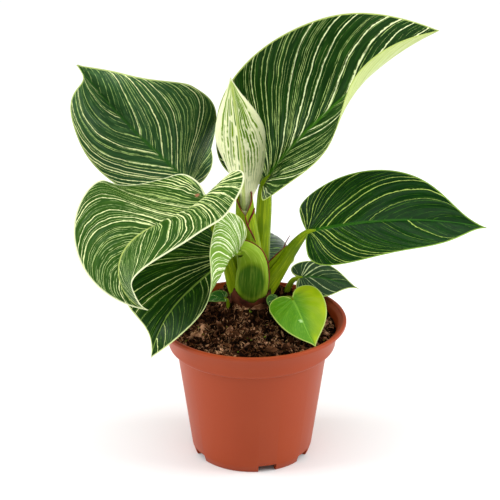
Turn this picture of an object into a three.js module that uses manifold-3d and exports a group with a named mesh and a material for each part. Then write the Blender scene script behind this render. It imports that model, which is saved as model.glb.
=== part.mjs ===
// A potted philodendron with pin-striped leaves, in a plastic nursery pot.
// Millimetres and degrees, +Z up. The origin is the middle of the pot's underside.
// The front of the plant faces -Y, and +X is to its right.

import * as THREE from "three";
import { mergeVertices } from "three/addons/utils/BufferGeometryUtils.js";
import Module from "manifold-3d";

const wasm = await Module();
wasm.setup();

// ---------------------------------------------------------------- driving dimensions

const GAP = 0.3; // clearance between two pieces that touch

const POT = {
  height: 91,
  lipRadius: 60,
  lipInner: 57.3,
  lipHeight: 2.6,
  bandTop: 56,
  bandFoot: 53.3,
  bandHeight: 18,
  bodyTop: 48.2,
  bodyFoot: 38.6,
  footRadius: 37.2,
  taperHeight: 4.5,
  wall: 1.3,
  footRingWidth: 3,
  footBevel: 0.4,
  floorHeight: 3,
  padRadius: 14,
  padSlope: 1,
  lipBevel: 0.7,
  segments: 48,
};

// The rounded lower edge of the pot's band: steps in from its foot radius, and up.
const BAND_EDGE = [[2, 0], [0.5, 1.2], [0, 3]];

// The same edge inside the pot, one wall thickness away: steps in from the same radius, and up.
const BAND_SHELF = [[2.5, 1.3], [1.6, 2]];

// Drain notches come in pairs, each pair to both sides of a middle angle.
const DRAIN = { pairs: 3, firstPair: -53, spread: 22, width: 11.5, height: 4.8, inner: 31, outer: 45 };

const SOIL = { level: 85, mound: 11, moundSpread: 17, lump: 0.8, rings: 11, sectors: 40 };

// Each row is one crossing pair of waves on the soil: share, then x and y factors and shifts.
const SOIL_WAVES = [
  { share: 1, first: [0.41, 0, 1.3], second: [0, 0.37, 0.4] },
  { share: 0.6, first: [0.23, -0.71, 0], second: [0, 0, Math.PI / 2] },
];

const CROWN = { x: 0, y: 21 }; // where the stem leaves the soil, behind the pot's axis

const STEM_PROFILE = [
  { z: 62, radius: 6 },
  { z: 82, radius: 8.5 },
  { z: 96, radius: 9 },
  { z: 104, radius: 7.5 },
  { z: 113, radius: 4.5 },
];

const BLADE = { thickness: 0.8, keel: 1.5, keelSpread: 3, veinLag: 2.4, veinBow: 0.12 };

// How a stalk ends under a blade: its radius and depth below the base, and those of its last
// point, which lies a share of the blade's length farther on.
const JOIN = { radius: 2, narrowing: 0.8, depth: 1.2, reach: 0.05, endRadius: 0.9, endDepth: 1.1 };

// A leaf's blade is a flat outline that is bent. Pitch, heading and roll turn its midrib from
// base to tip; fold lifts a half from the midrib, and curl bends it on from there to the margin.
const LEAVES = [
  {
    name: "leaf_top",
    length: 148,
    base: [7, 29, 171],
    pitch: [58, 44, 41, 22],
    heading: [6, 7, 4, 7],
    roll: [-35, -60, -55, -45],
    left: { width: 59, lobe: 11.5, widest: 0.3, shoulder: 0.63, tip: 0.04,
      fold: [-10, -18, -5, -7], curl: [35, 50, 40, -30] },
    right: { width: 39, lobe: 4, widest: 0.32, shoulder: 0.65, tip: 0.1,
      fold: [40, 45, 65, 85], curl: [-5, 20, 50, 50] },
    stalk: [[4, 21, 104, 6, 5], [5.5, 25, 119, 5.2, 4.2], [6.5, 27.5, 134, 4.6, 4],
      [7.4, 28.6, 152, 4.5, 3.6]],
  },
  {
    name: "leaf_upper_left",
    length: 106,
    base: [-38, 34, 169],
    pitch: [41, 40, 46],
    heading: [177, 156, 147],
    roll: [25, 60, 40],
    left: { width: 34, lobe: 4, widest: 0.6, shoulder: 0.95, tip: 0.22,
      fold: [-30, -18, 32, 80], curl: [-60, 3, 14, -60] },
    right: { width: 48.5, lobe: 7.5, widest: 0.4, shoulder: 0.2, tip: 0.05,
      fold: [-26, 18, 44, 10], curl: [60, 10, -35, 20] },
    stalk: [[-6, 24, 100, 6, 5], [-12, 27, 116, 4.6, 4], [-20, 31, 135, 3.2, 2.8],
      [-31, 33.5, 156, 2.6, 2.4]],
  },
  {
    name: "leaf_front_left",
    length: 117,
    base: [-28, -13, 179],
    pitch: [-30, -3, -81, -156],
    heading: [218, 223, 185, 198],
    roll: [20, 10, 5, 25],
    left: { width: 40, lobe: 21, widest: 0.38, shoulder: 0.3, tip: 0.07,
      fold: [72, 56, -12, -4], curl: [-90, -76, 7, -30] },
    right: { width: 48, lobe: 6, widest: 0.35, shoulder: 0.6, tip: 0.27,
      fold: [-5, 10, 50, 45], curl: [-30, -5, -5, -10] },
    stalk: [[-7, 16, 98, 6.5, 5], [-11, 14, 110, 5.5, 4.4], [-16, 9.5, 130, 4, 3.4],
      [-24.5, -2, 160, 2.8, 2.4]],
  },
  {
    name: "leaf_lower_left",
    length: 94,
    base: [-9, 5, 137],
    pitch: [-25, -26, -75],
    heading: [219, 224, 227],
    roll: [10, 15, 15],
    left: { width: 42, lobe: 7, widest: 0.32, shoulder: 0.3, tip: 0.04,
      fold: [50, 3, 17, -4], curl: [110, 134, 28, 55] },
    right: { width: 42, lobe: 11, widest: 0.41, shoulder: 0.86, tip: 0.33,
      fold: [25, 15, -5], curl: [-10, -10, 15] },
    stalk: [[-1, 16, 96, 8, 5], [-0.5, 11, 104, 10, 5.5], [0, 9.5, 114, 10.5, 5.5],
      [0, 9, 124, 9.5, 5], [-2, 8, 131, 8, 5], [-6, 6.4, 135.5, 5.5, 4.2]],
    join: { radius: 3.5, depth: 2.6 },
  },
  {
    name: "leaf_right",
    length: 115,
    base: [35, 22, 141],
    pitch: [13, 2, -10],
    heading: [3, 0, -8],
    roll: [-30, -35, -40],
    left: { width: 34, lobe: 2, widest: 0.33, shoulder: 0.63, tip: 0.24,
      fold: [0, 5, 20], curl: [-10, 40, -10] },
    right: { width: 33, lobe: 3, widest: 0.37, shoulder: 0.69, tip: 0.13,
      fold: [0, 15, 15], curl: [-10, 10, 15] },
    stalk: [[6, 20, 99, 7, 5], [13.5, 21.5, 109, 5.6, 4.4], [20, 22, 119, 4.4, 4],
      [27, 22, 131, 3.8, 3.4]],
  },
  {
    name: "leaf_small_right",
    length: 40,
    base: [31, 40.5, 101.5],
    pitch: [7, -16, -14],
    heading: [2, 2, -14],
    roll: [-15, -30, -5],
    left: { width: 13, lobe: 5, widest: 0.3, shoulder: 0.5, tip: 0.2,
      fold: [15, 5, 5], curl: [5, -15, 5] },
    right: { width: 18, lobe: 3, widest: 0.33, shoulder: 0.45, tip: 0.2,
      fold: [0, 10, 5], curl: [-10, 5, 15] },
    stalk: [[20, 37, 80, 2.2, 2.2], [23, 38.5, 93, 2, 2], [27, 40, 99.5, 1.7, 1.7]],
    fine: 0.6,
  },
  {
    name: "leaf_back",
    length: 88,
    base: [2, 44, 115],
    pitch: [18, -12, -55],
    heading: [90, 95, 100],
    roll: [-8, -10, 0],
    left: { width: 36, lobe: 10, widest: 0.3, shoulder: 0.6, tip: 0.2,
      fold: [-5, -5, -5], curl: [-35, -35, -20] },
    right: { width: 31, lobe: 4, widest: 0.36, shoulder: 0.6, tip: 0.2,
      fold: [0, -5, -5], curl: [-25, -35, -20] },
    stalk: [[1, 27, 97, 5, 4], [2, 33, 103, 3.6, 3.2], [2, 38.5, 109.5, 2.8, 2.6]],
  },
  {
    name: "leaf_heart",
    length: 42,
    base: [25, 0, 105],
    pitch: [-16, -30, -23],
    heading: [-67, -69, -60],
    roll: [-5, 0, 0],
    left: { width: 19, lobe: 7, widest: 0.15, shoulder: 0.58, tip: 0.14,
      fold: [10, 0, 5], curl: [-5, 5, 0] },
    right: { width: 17, lobe: 5, widest: 0.13, shoulder: 0.74, tip: 0.16,
      fold: [-10, 0, 5], curl: [-10, -15, -5] },
    stalk: [[18, 13, 78, 1.6, 1.6], [19, 11, 93, 1.5, 1.5], [22, 5.5, 102, 1.3, 1.3]],
    fine: 0.6,
  },
  {
    name: "sprout_front",
    length: 11,
    base: [16.5, 6.5, 102],
    pitch: [10, -25, -45],
    heading: [-130, -125, -120],
    roll: [10, 10, 10],
    left: { width: 5, lobe: 1.5, widest: 0.35, shoulder: 0.6, tip: 0.2,
      fold: [10, 5, 5], curl: [0, 10, 0] },
    right: { width: 5, lobe: 1.5, widest: 0.35, shoulder: 0.6, tip: 0.2,
      fold: [10, 5, 5], curl: [0, 10, 0] },
    stalk: [[14, 9, 84, 1.2, 1.2], [15, 9, 94, 1.1, 1.1], [16, 7.5, 100, 1, 1]],
    fine: 0.4,
  },
  {
    name: "sprout_left",
    length: 13,
    base: [-17, 9, 101],
    pitch: [20, -10, -40],
    heading: [185, 190, 195],
    roll: [25, 20, 15],
    left: { width: 5, lobe: 1.5, widest: 0.35, shoulder: 0.6, tip: 0.2,
      fold: [15, 5, 5], curl: [0, 10, 0] },
    right: { width: 5, lobe: 1.5, widest: 0.35, shoulder: 0.6, tip: 0.2,
      fold: [15, 5, 5], curl: [0, 10, 0] },
    stalk: [[-14, 10, 84, 1.3, 1.3], [-15, 10, 94, 1.2, 1.2], [-16, 9.5, 99, 1, 1]],
    fine: 0.4,
  },
];

// The youngest leaf stands upright, still half rolled, so its outline starts at a narrow neck.
const NEW_LEAF = {
  name: "leaf_new",
  veinLag: 1.3,
  length: 97,
  base: [-5, 21, 151],
  pitch: [91, 81, 79],
  heading: [-134, -129, -136],
  roll: [-40, -40, -40],
  left: { width: 24, neck: 3, widest: 0.49, shoulder: 0.2, tip: 0.14,
    fold: [15, 5, 40], curl: [125, 80, 70] },
  right: { width: 19, neck: 3, widest: 0.48, shoulder: 0.41, tip: 0.11,
    fold: [40, 15, 20], curl: [120, 45, 65] },
  stalk: [[-1.5, 19.5, 118, 2.2, 2.2], [-3, 20, 132, 2.6, 2.6], [-4.6, 21, 146, 3, 2.6],
    [-4.8, 21.4, 155, 2.6, 2.2]],
};

// The sheath that the new leaf rises from: x, y, z, half width, half depth.
const SHEATH = [
  [-1.5, 19.5, 112, 8.5, 6.5],
  [-1.5, 19.5, 126, 8, 6.2],
  [-3.2, 19, 142, 7.2, 5.6],
  [-4.4, 19.2, 157, 6, 4.8],
];

// The brown remains of an older sheath, a collar where the crown meets the soil.
const DRIED_SHEATH = [
  [-1, 17.5, 93, 12.5, 9.5],
  [-1, 17, 97, 12.8, 9.8],
  [-1, 16.8, 101, 11.6, 8.8],
];

const GRID = { along: 14, across: 5, stalkSides: 8, stalkSteps: 7, stemSides: 16, midribSteps: 60 };

const COLOURS = {
  pot: { color: 0xbe5539, roughness: 0.42 },
  soil: { color: 0x3a281e, roughness: 0.95 },
  leaf: { color: 0x2c5a2b, roughness: 0.4 },
  newLeaf: { color: 0xd9dfa8, roughness: 0.45 },
  heart: { color: 0x5f9a2c, roughness: 0.4 },
  stem: { color: 0x7c9a3a, roughness: 0.5 },
  dried: { color: 0x6b3a26, roughness: 0.8 },
};

// ---------------------------------------------------------------- solids

const radians = THREE.MathUtils.degToRad;
const vector = (p) => new THREE.Vector3(p[0], p[1], p[2]);

// Triangles that share corners become one solid; triangles with no area are dropped.
function toSolid(triangles) {
  const soup = new THREE.BufferGeometry();
  soup.setAttribute("position", new THREE.Float32BufferAttribute(triangles, 3));
  const merged = mergeVertices(soup, 1e-3);
  const index = [];
  for (let i = 0; i < merged.index.count; i += 3) {
    const [a, b, c] = [0, 1, 2].map((k) => merged.index.getX(i + k));
    if (a !== b && b !== c && c !== a) index.push(a, b, c);
  }
  return new wasm.Manifold(new wasm.Mesh({
    numProp: 3,
    vertProperties: new Float32Array(merged.getAttribute("position").array),
    triVerts: new Uint32Array(index),
  }));
}

function geometryToSolid(geometry) {
  const flat = geometry.index ? geometry.toNonIndexed() : geometry;
  return toSolid(Array.from(flat.getAttribute("position").array));
}

function toGeometry(solid) {
  const mesh = solid.getMesh();
  const geometry = new THREE.BufferGeometry();
  const corners = new THREE.BufferAttribute(new Float32Array(mesh.vertProperties), 3);
  geometry.setAttribute("position", corners);
  geometry.setIndex(new THREE.BufferAttribute(new Uint32Array(mesh.triVerts), 1));
  geometry.computeVertexNormals();
  return geometry;
}

// The largest of the bodies that a cut leaves.
function largest(solid) {
  const bodies = solid.decompose();
  return bodies.reduce((best, body) => (body.volume() > best.volume() ? body : best));
}

function cutAll(solid, cutters) {
  return cutters.reduce((rest, cutter) => rest.subtract(cutter), solid);
}

function pushTriangle(out, a, b, c) {
  out.push(a.x, a.y, a.z, b.x, b.y, b.z, c.x, c.y, c.z);
}

function pushQuad(out, a, b, c, d) {
  pushTriangle(out, a, b, c);
  pushTriangle(out, a, c, d);
}

// Rings of equal count, listed in order and wound anticlockwise seen from the last, become one
// closed solid with flat fans at both ends.
function loftRings(rings) {
  const out = [];
  const count = rings[0].length;
  const centre = (ring) => ring.reduce((sum, p) => sum.add(p), new THREE.Vector3()).divideScalar(count);
  const [first, last] = [rings[0], rings[rings.length - 1]];
  const [bottom, top] = [centre(first), centre(last)];
  for (let j = 0; j < count; j += 1) {
    const k = (j + 1) % count;
    for (let i = 0; i + 1 < rings.length; i += 1) {
      pushQuad(out, rings[i][j], rings[i][k], rings[i + 1][k], rings[i + 1][j]);
    }
    pushTriangle(out, bottom, first[k], first[j]);
    pushTriangle(out, top, last[j], last[k]);
  }
  return toSolid(out);
}

// ---------------------------------------------------------------- stalks

// A stalk follows stations of x, y, z, half width and half depth. Its sections are ellipses,
// wide from side to side and square to its path.
function stalkSolid(stations, grow = 0) {
  const path = new THREE.CatmullRomCurve3(stations.map(vector), false, "centripetal");
  const back = new THREE.Vector3(0, 1, 0);
  const rings = [];
  for (let i = 0; i <= GRID.stalkSteps; i += 1) {
    const t = i / GRID.stalkSteps;
    const centre = path.getPoint(t);
    const along = path.getTangent(t);
    const depth = back.clone().addScaledVector(along, -back.dot(along)).normalize();
    const wide = new THREE.Vector3().crossVectors(depth, along);
    const halfWidth = stationValue(stations, 3, t) + grow;
    const halfDepth = stationValue(stations, 4, t) + grow;
    rings.push(ellipseRing(centre, wide, depth, halfWidth, halfDepth));
  }
  return loftRings(rings);
}

function ellipseRing(centre, wide, depth, halfWidth, halfDepth) {
  const ring = [];
  for (let j = 0; j < GRID.stalkSides; j += 1) {
    const angle = (2 * Math.PI * j) / GRID.stalkSides;
    ring.push(centre.clone()
      .addScaledVector(wide, halfWidth * Math.cos(angle))
      .addScaledVector(depth, halfDepth * Math.sin(angle)));
  }
  return ring;
}

// A value that runs straight from one station to the next.
function stationValue(stations, field, t) {
  const place = Math.min(t, 1) * (stations.length - 1);
  const i = Math.min(Math.floor(place), stations.length - 2);
  return THREE.MathUtils.lerp(stations[i][field], stations[i + 1][field], place - i);
}

// ---------------------------------------------------------------- leaf blades

// A smooth curve through equally spaced values, as t goes from 0 to 1.
function through(values, t) {
  const last = values.length - 1;
  const place = THREE.MathUtils.clamp(t, 0, 1) * last;
  const i = Math.min(Math.floor(place), last - 1);
  const f = place - i;
  const [b, c] = [values[i], values[i + 1]];
  const a = i > 0 ? values[i - 1] : 2 * b - c;
  const d = i + 2 <= last ? values[i + 2] : 2 * c - b;
  return b + 0.5 * f * (c - a + f * (2 * a - 5 * b + 4 * c - d + f * (3 * (b - c) + d - a)));
}

// The flat margin of one half, from the end of the petiole, round the basal lobe, to the tip.
// x runs along the midrib and y away from it.
function marginOf(leaf, half) {
  const { width, lobe = 0, neck, shoulder, tip } = half;
  const wide = half.widest * leaf.length;
  const margin = new THREE.Path();
  margin.moveTo(0, 0);
  if (neck) {
    margin.lineTo(0, neck);
    margin.bezierCurveTo(0.45 * wide, neck, 0.5 * wide, width, wide, width);
  } else {
    margin.bezierCurveTo(-0.25 * lobe, 0.12 * width, -lobe, 0.15 * width, -lobe, 0.5 * width);
    margin.bezierCurveTo(-lobe, 0.85 * width, 0.35 * wide - 0.325 * lobe, width, wide, width);
  }
  const rest = leaf.length - wide;
  margin.bezierCurveTo(wide + shoulder * rest, width,
    leaf.length * (1 - tip), 0.035 * leaf.length, leaf.length, 0);
  return margin;
}

// The midrib's points and turned axes, found by walking it in short straight steps.
function midribOf(leaf) {
  const start = -1.05 * Math.max(leaf.left.lobe ?? 0, leaf.right.lobe ?? 0, 1);
  const step = (leaf.length - start) / GRID.midribSteps;
  const stations = [];
  const walker = new THREE.Vector3();
  for (let i = 0; i <= GRID.midribSteps; i += 1) {
    const x = start + i * step;
    const frame = axesAt(leaf, x / leaf.length);
    if (i > 0) {
      walker.addScaledVector(stations[i - 1].along, step / 2).addScaledVector(frame.along, step / 2);
    }
    stations.push({ ...frame, point: walker.clone() });
  }
  const pointAt = (x) => {
    const place = (x - start) / step;
    const i = THREE.MathUtils.clamp(Math.floor(place), 0, GRID.midribSteps - 1);
    return stations[i].point.clone().lerp(stations[i + 1].point, place - i);
  };
  const shift = vector(leaf.base).sub(pointAt(0));
  return (x) => ({ ...axesAt(leaf, x / leaf.length), point: pointAt(x).add(shift) });
}

function axesAt(leaf, t) {
  const pitch = radians(through(leaf.pitch, t));
  const heading = radians(through(leaf.heading, t));
  const roll = radians(through(leaf.roll, t));
  const along = new THREE.Vector3(
    Math.cos(pitch) * Math.cos(heading), Math.cos(pitch) * Math.sin(heading), Math.sin(pitch));
  const level = new THREE.Vector3(Math.sin(heading), -Math.cos(heading), 0);
  const upright = new THREE.Vector3().crossVectors(level, along);
  const right = level.clone().multiplyScalar(Math.cos(roll)).addScaledVector(upright, Math.sin(roll));
  const up = upright.multiplyScalar(Math.cos(roll)).addScaledVector(level, -Math.sin(roll));
  return { along, right, up };
}

// The bent blade's upper and lower points over one spot of the flat outline. Across the leaf the
// blade is an arc: it leaves the midrib at the fold angle and turns by curl over the half width.
function bladePoints(leaf, midrib, side, x, y) {
  const half = side < 0 ? leaf.left : leaf.right;
  const t = x / leaf.length;
  const frame = midrib(x);
  const fold = radians(through(half.fold, t));
  const turn = radians(through(half.curl, t)) / half.width;
  const angle = fold + turn * y;
  const bent = Math.abs(turn) > 1e-6;
  const out = bent ? (Math.sin(angle) - Math.sin(fold)) / turn : y * Math.cos(fold);
  const rise = bent ? (Math.cos(fold) - Math.cos(angle)) / turn : y * Math.sin(fold);
  const upper = frame.point.clone()
    .addScaledVector(frame.right, side * out)
    .addScaledVector(frame.up, rise);
  const middleTilt = radians(through(leaf.left.fold, t) - through(leaf.right.fold, t)) / 2;
  const tilt = y > 0 ? -side * angle : middleTilt;
  const normal = frame.up.clone()
    .multiplyScalar(Math.cos(tilt))
    .addScaledVector(frame.right, Math.sin(tilt));
  const fading = 1 - THREE.MathUtils.clamp(t, 0, 1);
  const keel = BLADE.keel * fading * Math.exp(-((y / BLADE.keelSpread) ** 2));
  const lower = upper.clone().addScaledVector(normal, -(BLADE.thickness + keel));
  return { upper, lower, normal };
}

// Rows follow the side veins: each leaves the midrib well before the place where it meets the
// margin, and bows forward on its way.
function halfGrid(leaf, midrib, side, rows, columns) {
  const half = side < 0 ? leaf.left : leaf.right;
  const margin = marginOf(leaf, half);
  const grid = [];
  for (let i = 0; i <= rows; i += 1) {
    const u = i / rows;
    const end = margin.getPointAt(u);
    const start = leaf.length * u ** (leaf.veinLag ?? BLADE.veinLag);
    const dx = end.x - start;
    const middleX = start + dx / 2 - BLADE.veinBow * end.y;
    const middleY = end.y / 2 + BLADE.veinBow * dx;
    const row = [];
    for (let j = 0; j <= columns; j += 1) {
      const v = j / columns;
      const w = 1 - v;
      const x = w * w * start + 2 * w * v * middleX + v * v * end.x;
      const y = Math.max(0, 2 * w * v * middleY + v * v * end.y);
      row.push(bladePoints(leaf, midrib, side, x, y));
    }
    grid.push(row);
  }
  return grid;
}

function bladeSolid(leaf, midrib) {
  const rows = Math.round(GRID.along * (leaf.fine ?? 1));
  const columns = Math.max(2, Math.round(GRID.across * (leaf.fine ?? 1)));
  const out = [];
  for (const side of [-1, 1]) {
    const grid = halfGrid(leaf, midrib, side, rows, columns);
    const face = (a, b, c, d) => (side > 0 ? pushQuad(out, a, b, c, d) : pushQuad(out, a, d, c, b));
    for (let i = 0; i < rows; i += 1) {
      const [near, far] = [grid[i], grid[i + 1]];
      for (let j = 0; j < columns; j += 1) {
        face(near[j].upper, near[j + 1].upper, far[j + 1].upper, far[j].upper);
        face(near[j].lower, far[j].lower, far[j + 1].lower, near[j + 1].lower);
      }
      const [a, b] = [near[columns], far[columns]];
      face(a.upper, a.lower, b.lower, b.upper);
    }
  }
  return toSolid(out);
}

// The stalk runs on under the midrib, so that the blade and the stalk are one piece.
function stalkOf(leaf, midrib) {
  const under = (x, depth, radius) => {
    const { upper, normal } = bladePoints(leaf, midrib, 1, x, 0);
    const p = upper.addScaledVector(normal, -depth);
    return [p.x, p.y, p.z, radius, radius];
  };
  const join = { ...JOIN, ...leaf.join };
  const end = leaf.stalk[leaf.stalk.length - 1][3];
  return [
    ...leaf.stalk,
    under(0, join.depth, Math.min(join.radius, JOIN.narrowing * end)),
    under(join.reach * leaf.length, join.endDepth, join.endRadius),
  ];
}

function growLeaf(leaf) {
  const midrib = midribOf(leaf);
  const stations = stalkOf(leaf, midrib);
  return {
    solid: bladeSolid(leaf, midrib).add(stalkSolid(stations)),
    socket: stalkSolid(stations, GAP),
  };
}

// ---------------------------------------------------------------- pot, soil and stem

function lathe(points, segments) {
  const geometry = new THREE.LatheGeometry(points.map(([r, z]) => new THREE.Vector2(r, z)), segments);
  return geometryToSolid(geometry.rotateX(Math.PI / 2));
}

function potBandFoot() {
  return POT.height - POT.bandHeight;
}

// The inner wall from the floor up: radius and height.
function potInnerWall() {
  const step = potBandFoot();
  return [
    [POT.bodyFoot - POT.wall, POT.floorHeight + POT.wall],
    [POT.bodyTop - POT.wall, step + POT.wall],
    ...BAND_SHELF.map(([inward, up]) => [POT.bandFoot - inward, step + up]),
    [POT.bandTop - POT.wall, POT.height - POT.lipHeight],
    [POT.lipInner, POT.height],
  ];
}

function potProfile() {
  const step = potBandFoot();
  const lipFoot = POT.height - POT.lipHeight;
  const ringInner = POT.footRadius - POT.footRingWidth;
  return [
    [0, 0],
    [POT.padRadius, 0],
    [POT.padRadius + POT.padSlope, POT.floorHeight],
    [ringInner, POT.floorHeight],
    [ringInner + POT.footBevel, 0],
    [POT.footRadius, 0],
    [POT.bodyFoot, POT.taperHeight],
    [POT.bodyTop, step],
    ...BAND_EDGE.map(([inward, up]) => [POT.bandFoot - inward, step + up]),
    [POT.bandTop, lipFoot],
    [POT.lipRadius - POT.lipBevel, lipFoot],
    [POT.lipRadius, lipFoot + POT.lipBevel],
    [POT.lipRadius, POT.height - POT.lipBevel],
    [POT.lipRadius - POT.lipBevel, POT.height],
    ...potInnerWall().reverse(),
    [0, POT.floorHeight + POT.wall],
  ];
}

// A block that cuts one notch through the foot ring and the edge of the pot's floor.
function drainSlot(angle) {
  const below = 1; // how far the block reaches under the pot
  const slot = new THREE.BoxGeometry(DRAIN.outer - DRAIN.inner, DRAIN.width, DRAIN.height + below);
  slot.translate((DRAIN.inner + DRAIN.outer) / 2, 0, (DRAIN.height - below) / 2);
  slot.rotateZ(radians(angle));
  return geometryToSolid(slot);
}

function potSolid() {
  const drains = [];
  for (let i = 0; i < DRAIN.pairs; i += 1) {
    for (const side of [-1, 1]) {
      drains.push(drainSlot(DRAIN.firstPair + side * DRAIN.spread + (360 / DRAIN.pairs) * i));
    }
  }
  return cutAll(lathe(potProfile(), POT.segments), drains);
}

function soilHeight(x, y) {
  const away = (x - CROWN.x) ** 2 + (y - CROWN.y) ** 2;
  const mound = SOIL.mound * Math.exp(-away / (2 * SOIL.moundSpread ** 2));
  const wave = ([a, b, shift]) => Math.sin(a * x + b * y + shift);
  const lumps = SOIL_WAVES.reduce((sum, w) => sum + w.share * wave(w.first) * wave(w.second), 0);
  return SOIL.level + mound + SOIL.lump * lumps;
}

// The soil fills the pot to a lumpy top that is heaped round the stem.
function soilSolid(sockets) {
  const [low, step, shelf, ledge, brim] = potInnerWall();
  const share = (SOIL.level - ledge[1]) / (brim[1] - ledge[1]);
  const rim = THREE.MathUtils.lerp(ledge[0], brim[0], share) - 2 * GAP;
  const ring = (radius, height) => {
    const points = [];
    for (let j = 0; j < SOIL.sectors; j += 1) {
      const angle = (2 * Math.PI * j) / SOIL.sectors;
      const [x, y] = [radius * Math.cos(angle), radius * Math.sin(angle)];
      points.push(new THREE.Vector3(x, y, height ?? soilHeight(x, y)));
    }
    return points;
  };
  const rings = [
    ring(low[0] - GAP, low[1] + GAP),
    ring(step[0] - GAP, step[1] + GAP),
    ring(shelf[0] - GAP, shelf[1] + GAP),
    ring(ledge[0] - 2 * GAP, ledge[1] + 2 * GAP),
  ];
  for (let i = 0; i < SOIL.rings; i += 1) {
    rings.push(ring(rim * (1 - i / SOIL.rings)));
  }
  return cutAll(loftRings(rings), sockets);
}

function stemSolid(grow = 0) {
  const first = STEM_PROFILE[0];
  const last = STEM_PROFILE[STEM_PROFILE.length - 1];
  const points = [
    [0, first.z - grow],
    ...STEM_PROFILE.map(({ z, radius }) => [radius + grow, z]),
    [0, last.z + grow],
  ];
  return lathe(points, GRID.stemSides).translate([CROWN.x, CROWN.y, 0]);
}

// ---------------------------------------------------------------- assembly

const group = new THREE.Group();

function addPiece(name, solid, finish) {
  const material = new THREE.MeshStandardMaterial({ ...finish, metalness: 0 });
  const mesh = new THREE.Mesh(toGeometry(solid), material);
  mesh.name = name;
  group.add(mesh);
}

const stemSocket = stemSolid(GAP);
const grown = new Map(LEAVES.map((leaf) => [leaf.name, growLeaf(leaf)]));
const newLeaf = growLeaf(NEW_LEAF);

// Each stalk that clasps the crown is cut clear of the stem and of the stalks inside it.
const cutters = [stemSocket, newLeaf.socket];
for (const leaf of LEAVES) {
  const { solid, socket } = grown.get(leaf.name);
  const whole = leaf.name === "leaf_top" ? solid.add(stalkSolid(SHEATH)) : solid;
  const finish = leaf.name === "leaf_heart" ? COLOURS.heart : COLOURS.leaf;
  addPiece(leaf.name, largest(cutAll(whole, cutters)), finish);
  cutters.push(leaf.name === "leaf_top" ? socket.add(stalkSolid(SHEATH, GAP)) : socket);
}

addPiece("leaf_new", largest(newLeaf.solid.subtract(stemSocket)), COLOURS.newLeaf);
addPiece("stem", stemSolid(), COLOURS.stem);
addPiece("dried_sheath", largest(cutAll(stalkSolid(DRIED_SHEATH), cutters)), COLOURS.dried);
addPiece("soil", largest(soilSolid([...cutters, stalkSolid(DRIED_SHEATH, GAP)])), COLOURS.soil);
addPiece("pot", potSolid(), COLOURS.pot);

export default group;
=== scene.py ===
"""A potted philodendron with pin-striped leaves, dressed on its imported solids.

Lengths in the classes are millimetres and angles degrees. The mesh builder turns them into
metres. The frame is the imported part's own: the origin is the middle of the pot's underside,
+Z is up, the front of the plant faces -Y, and +X is to its right.
"""

import logging
import math
from dataclasses import dataclass
from enum import Enum
from typing import Sequence

import bmesh
import bpy
import numpy as np
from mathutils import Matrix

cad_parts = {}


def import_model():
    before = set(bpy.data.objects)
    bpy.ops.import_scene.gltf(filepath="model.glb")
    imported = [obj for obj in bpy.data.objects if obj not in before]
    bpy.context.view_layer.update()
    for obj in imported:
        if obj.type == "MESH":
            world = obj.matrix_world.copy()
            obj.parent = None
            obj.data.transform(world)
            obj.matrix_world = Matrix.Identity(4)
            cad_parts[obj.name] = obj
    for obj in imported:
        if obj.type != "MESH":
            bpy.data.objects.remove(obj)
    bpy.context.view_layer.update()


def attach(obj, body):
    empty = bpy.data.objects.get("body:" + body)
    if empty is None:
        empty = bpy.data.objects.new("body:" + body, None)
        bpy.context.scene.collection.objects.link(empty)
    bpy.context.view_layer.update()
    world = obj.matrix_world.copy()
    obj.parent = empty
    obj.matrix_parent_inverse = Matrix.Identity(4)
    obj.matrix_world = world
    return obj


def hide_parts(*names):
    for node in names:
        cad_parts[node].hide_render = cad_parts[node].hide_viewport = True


LOG = logging.getLogger("philodendron")
MM = 0.001
# The least divisor, and in metres what is welded and what is too thin to be an edge.
TINY, WELD, SLIVER = 1e-6, 1e-6, 1e-7
# The lattice noise's hash: a prime for each axis and for the seed, a multiplier and its 31 bits.
HASH_PRIMES, HASH_SEED, HASH_MIX, HASH_MASK = (73856093, 19349663, 83492791), 2654435, 1274126177, 0x7FFFFFFF
# The numbers of a leaf's finishes.
BLADE, STALK, BEAD = 0, 1, 2
Colour = tuple[float, float, float]
Place = tuple[float, float, float]
Stations = tuple[tuple[float, ...], ...]


# ---------------------------------------------------------------- curves and noise


def through(values: Sequence[float], t: np.ndarray) -> np.ndarray:
    """A Catmull-Rom curve through equally spaced values, straight past both ends.

    Args:
        values: the values to pass, two or more.
        t: where to read the curve, 0 at the first value and 1 at the last.

    Returns:
        One value for each entry of t.
    """
    v = np.asarray(values, float)
    last = len(v) - 1
    place = np.clip(t, 0, 1) * last
    i = np.minimum(place.astype(int), last - 1)
    f = place - i
    padded = np.concatenate([[2 * v[0] - v[1]], v, [2 * v[-1] - v[-2]]])
    a, b, c, d = (padded[i + k] for k in range(4))
    return b + 0.5 * f * (c - a + f * (2 * a - 5 * b + 4 * c - d + f * (3 * (b - c) + d - a)))


def smooth_path(points: np.ndarray, t: np.ndarray) -> np.ndarray:
    """A centripetal Catmull-Rom path: its knots are the square roots of the chords apart.

    Args:
        points: the points to pass, one row each.
        t: where to read the path, each chord taking an equal share of 0 to 1.

    Returns:
        One point for each entry of t.
    """
    p = np.vstack([2 * points[0] - points[1], points, 2 * points[-1] - points[-2]])
    last = len(points) - 1
    place = np.clip(t, 0, 1) * last
    i = np.minimum(place.astype(int), last - 1)
    f = (place - i)[:, None]
    a, b, c, d = (p[i + k] for k in range(4))
    h0, h1, h2 = (np.sqrt(np.linalg.norm(q - r, axis=1))[:, None] for q, r in ((b, a), (c, b), (d, c)))
    m1 = h1 * ((b - a) / h0 - (c - a) / (h0 + h1) + (c - b) / h1)
    m2 = h1 * ((c - b) / h1 - (d - b) / (h1 + h2) + (d - c) / h2)
    return b + f * (m1 + f * (3 * (c - b) - 2 * m1 - m2 + f * (2 * (b - c) + m1 + m2)))


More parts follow.
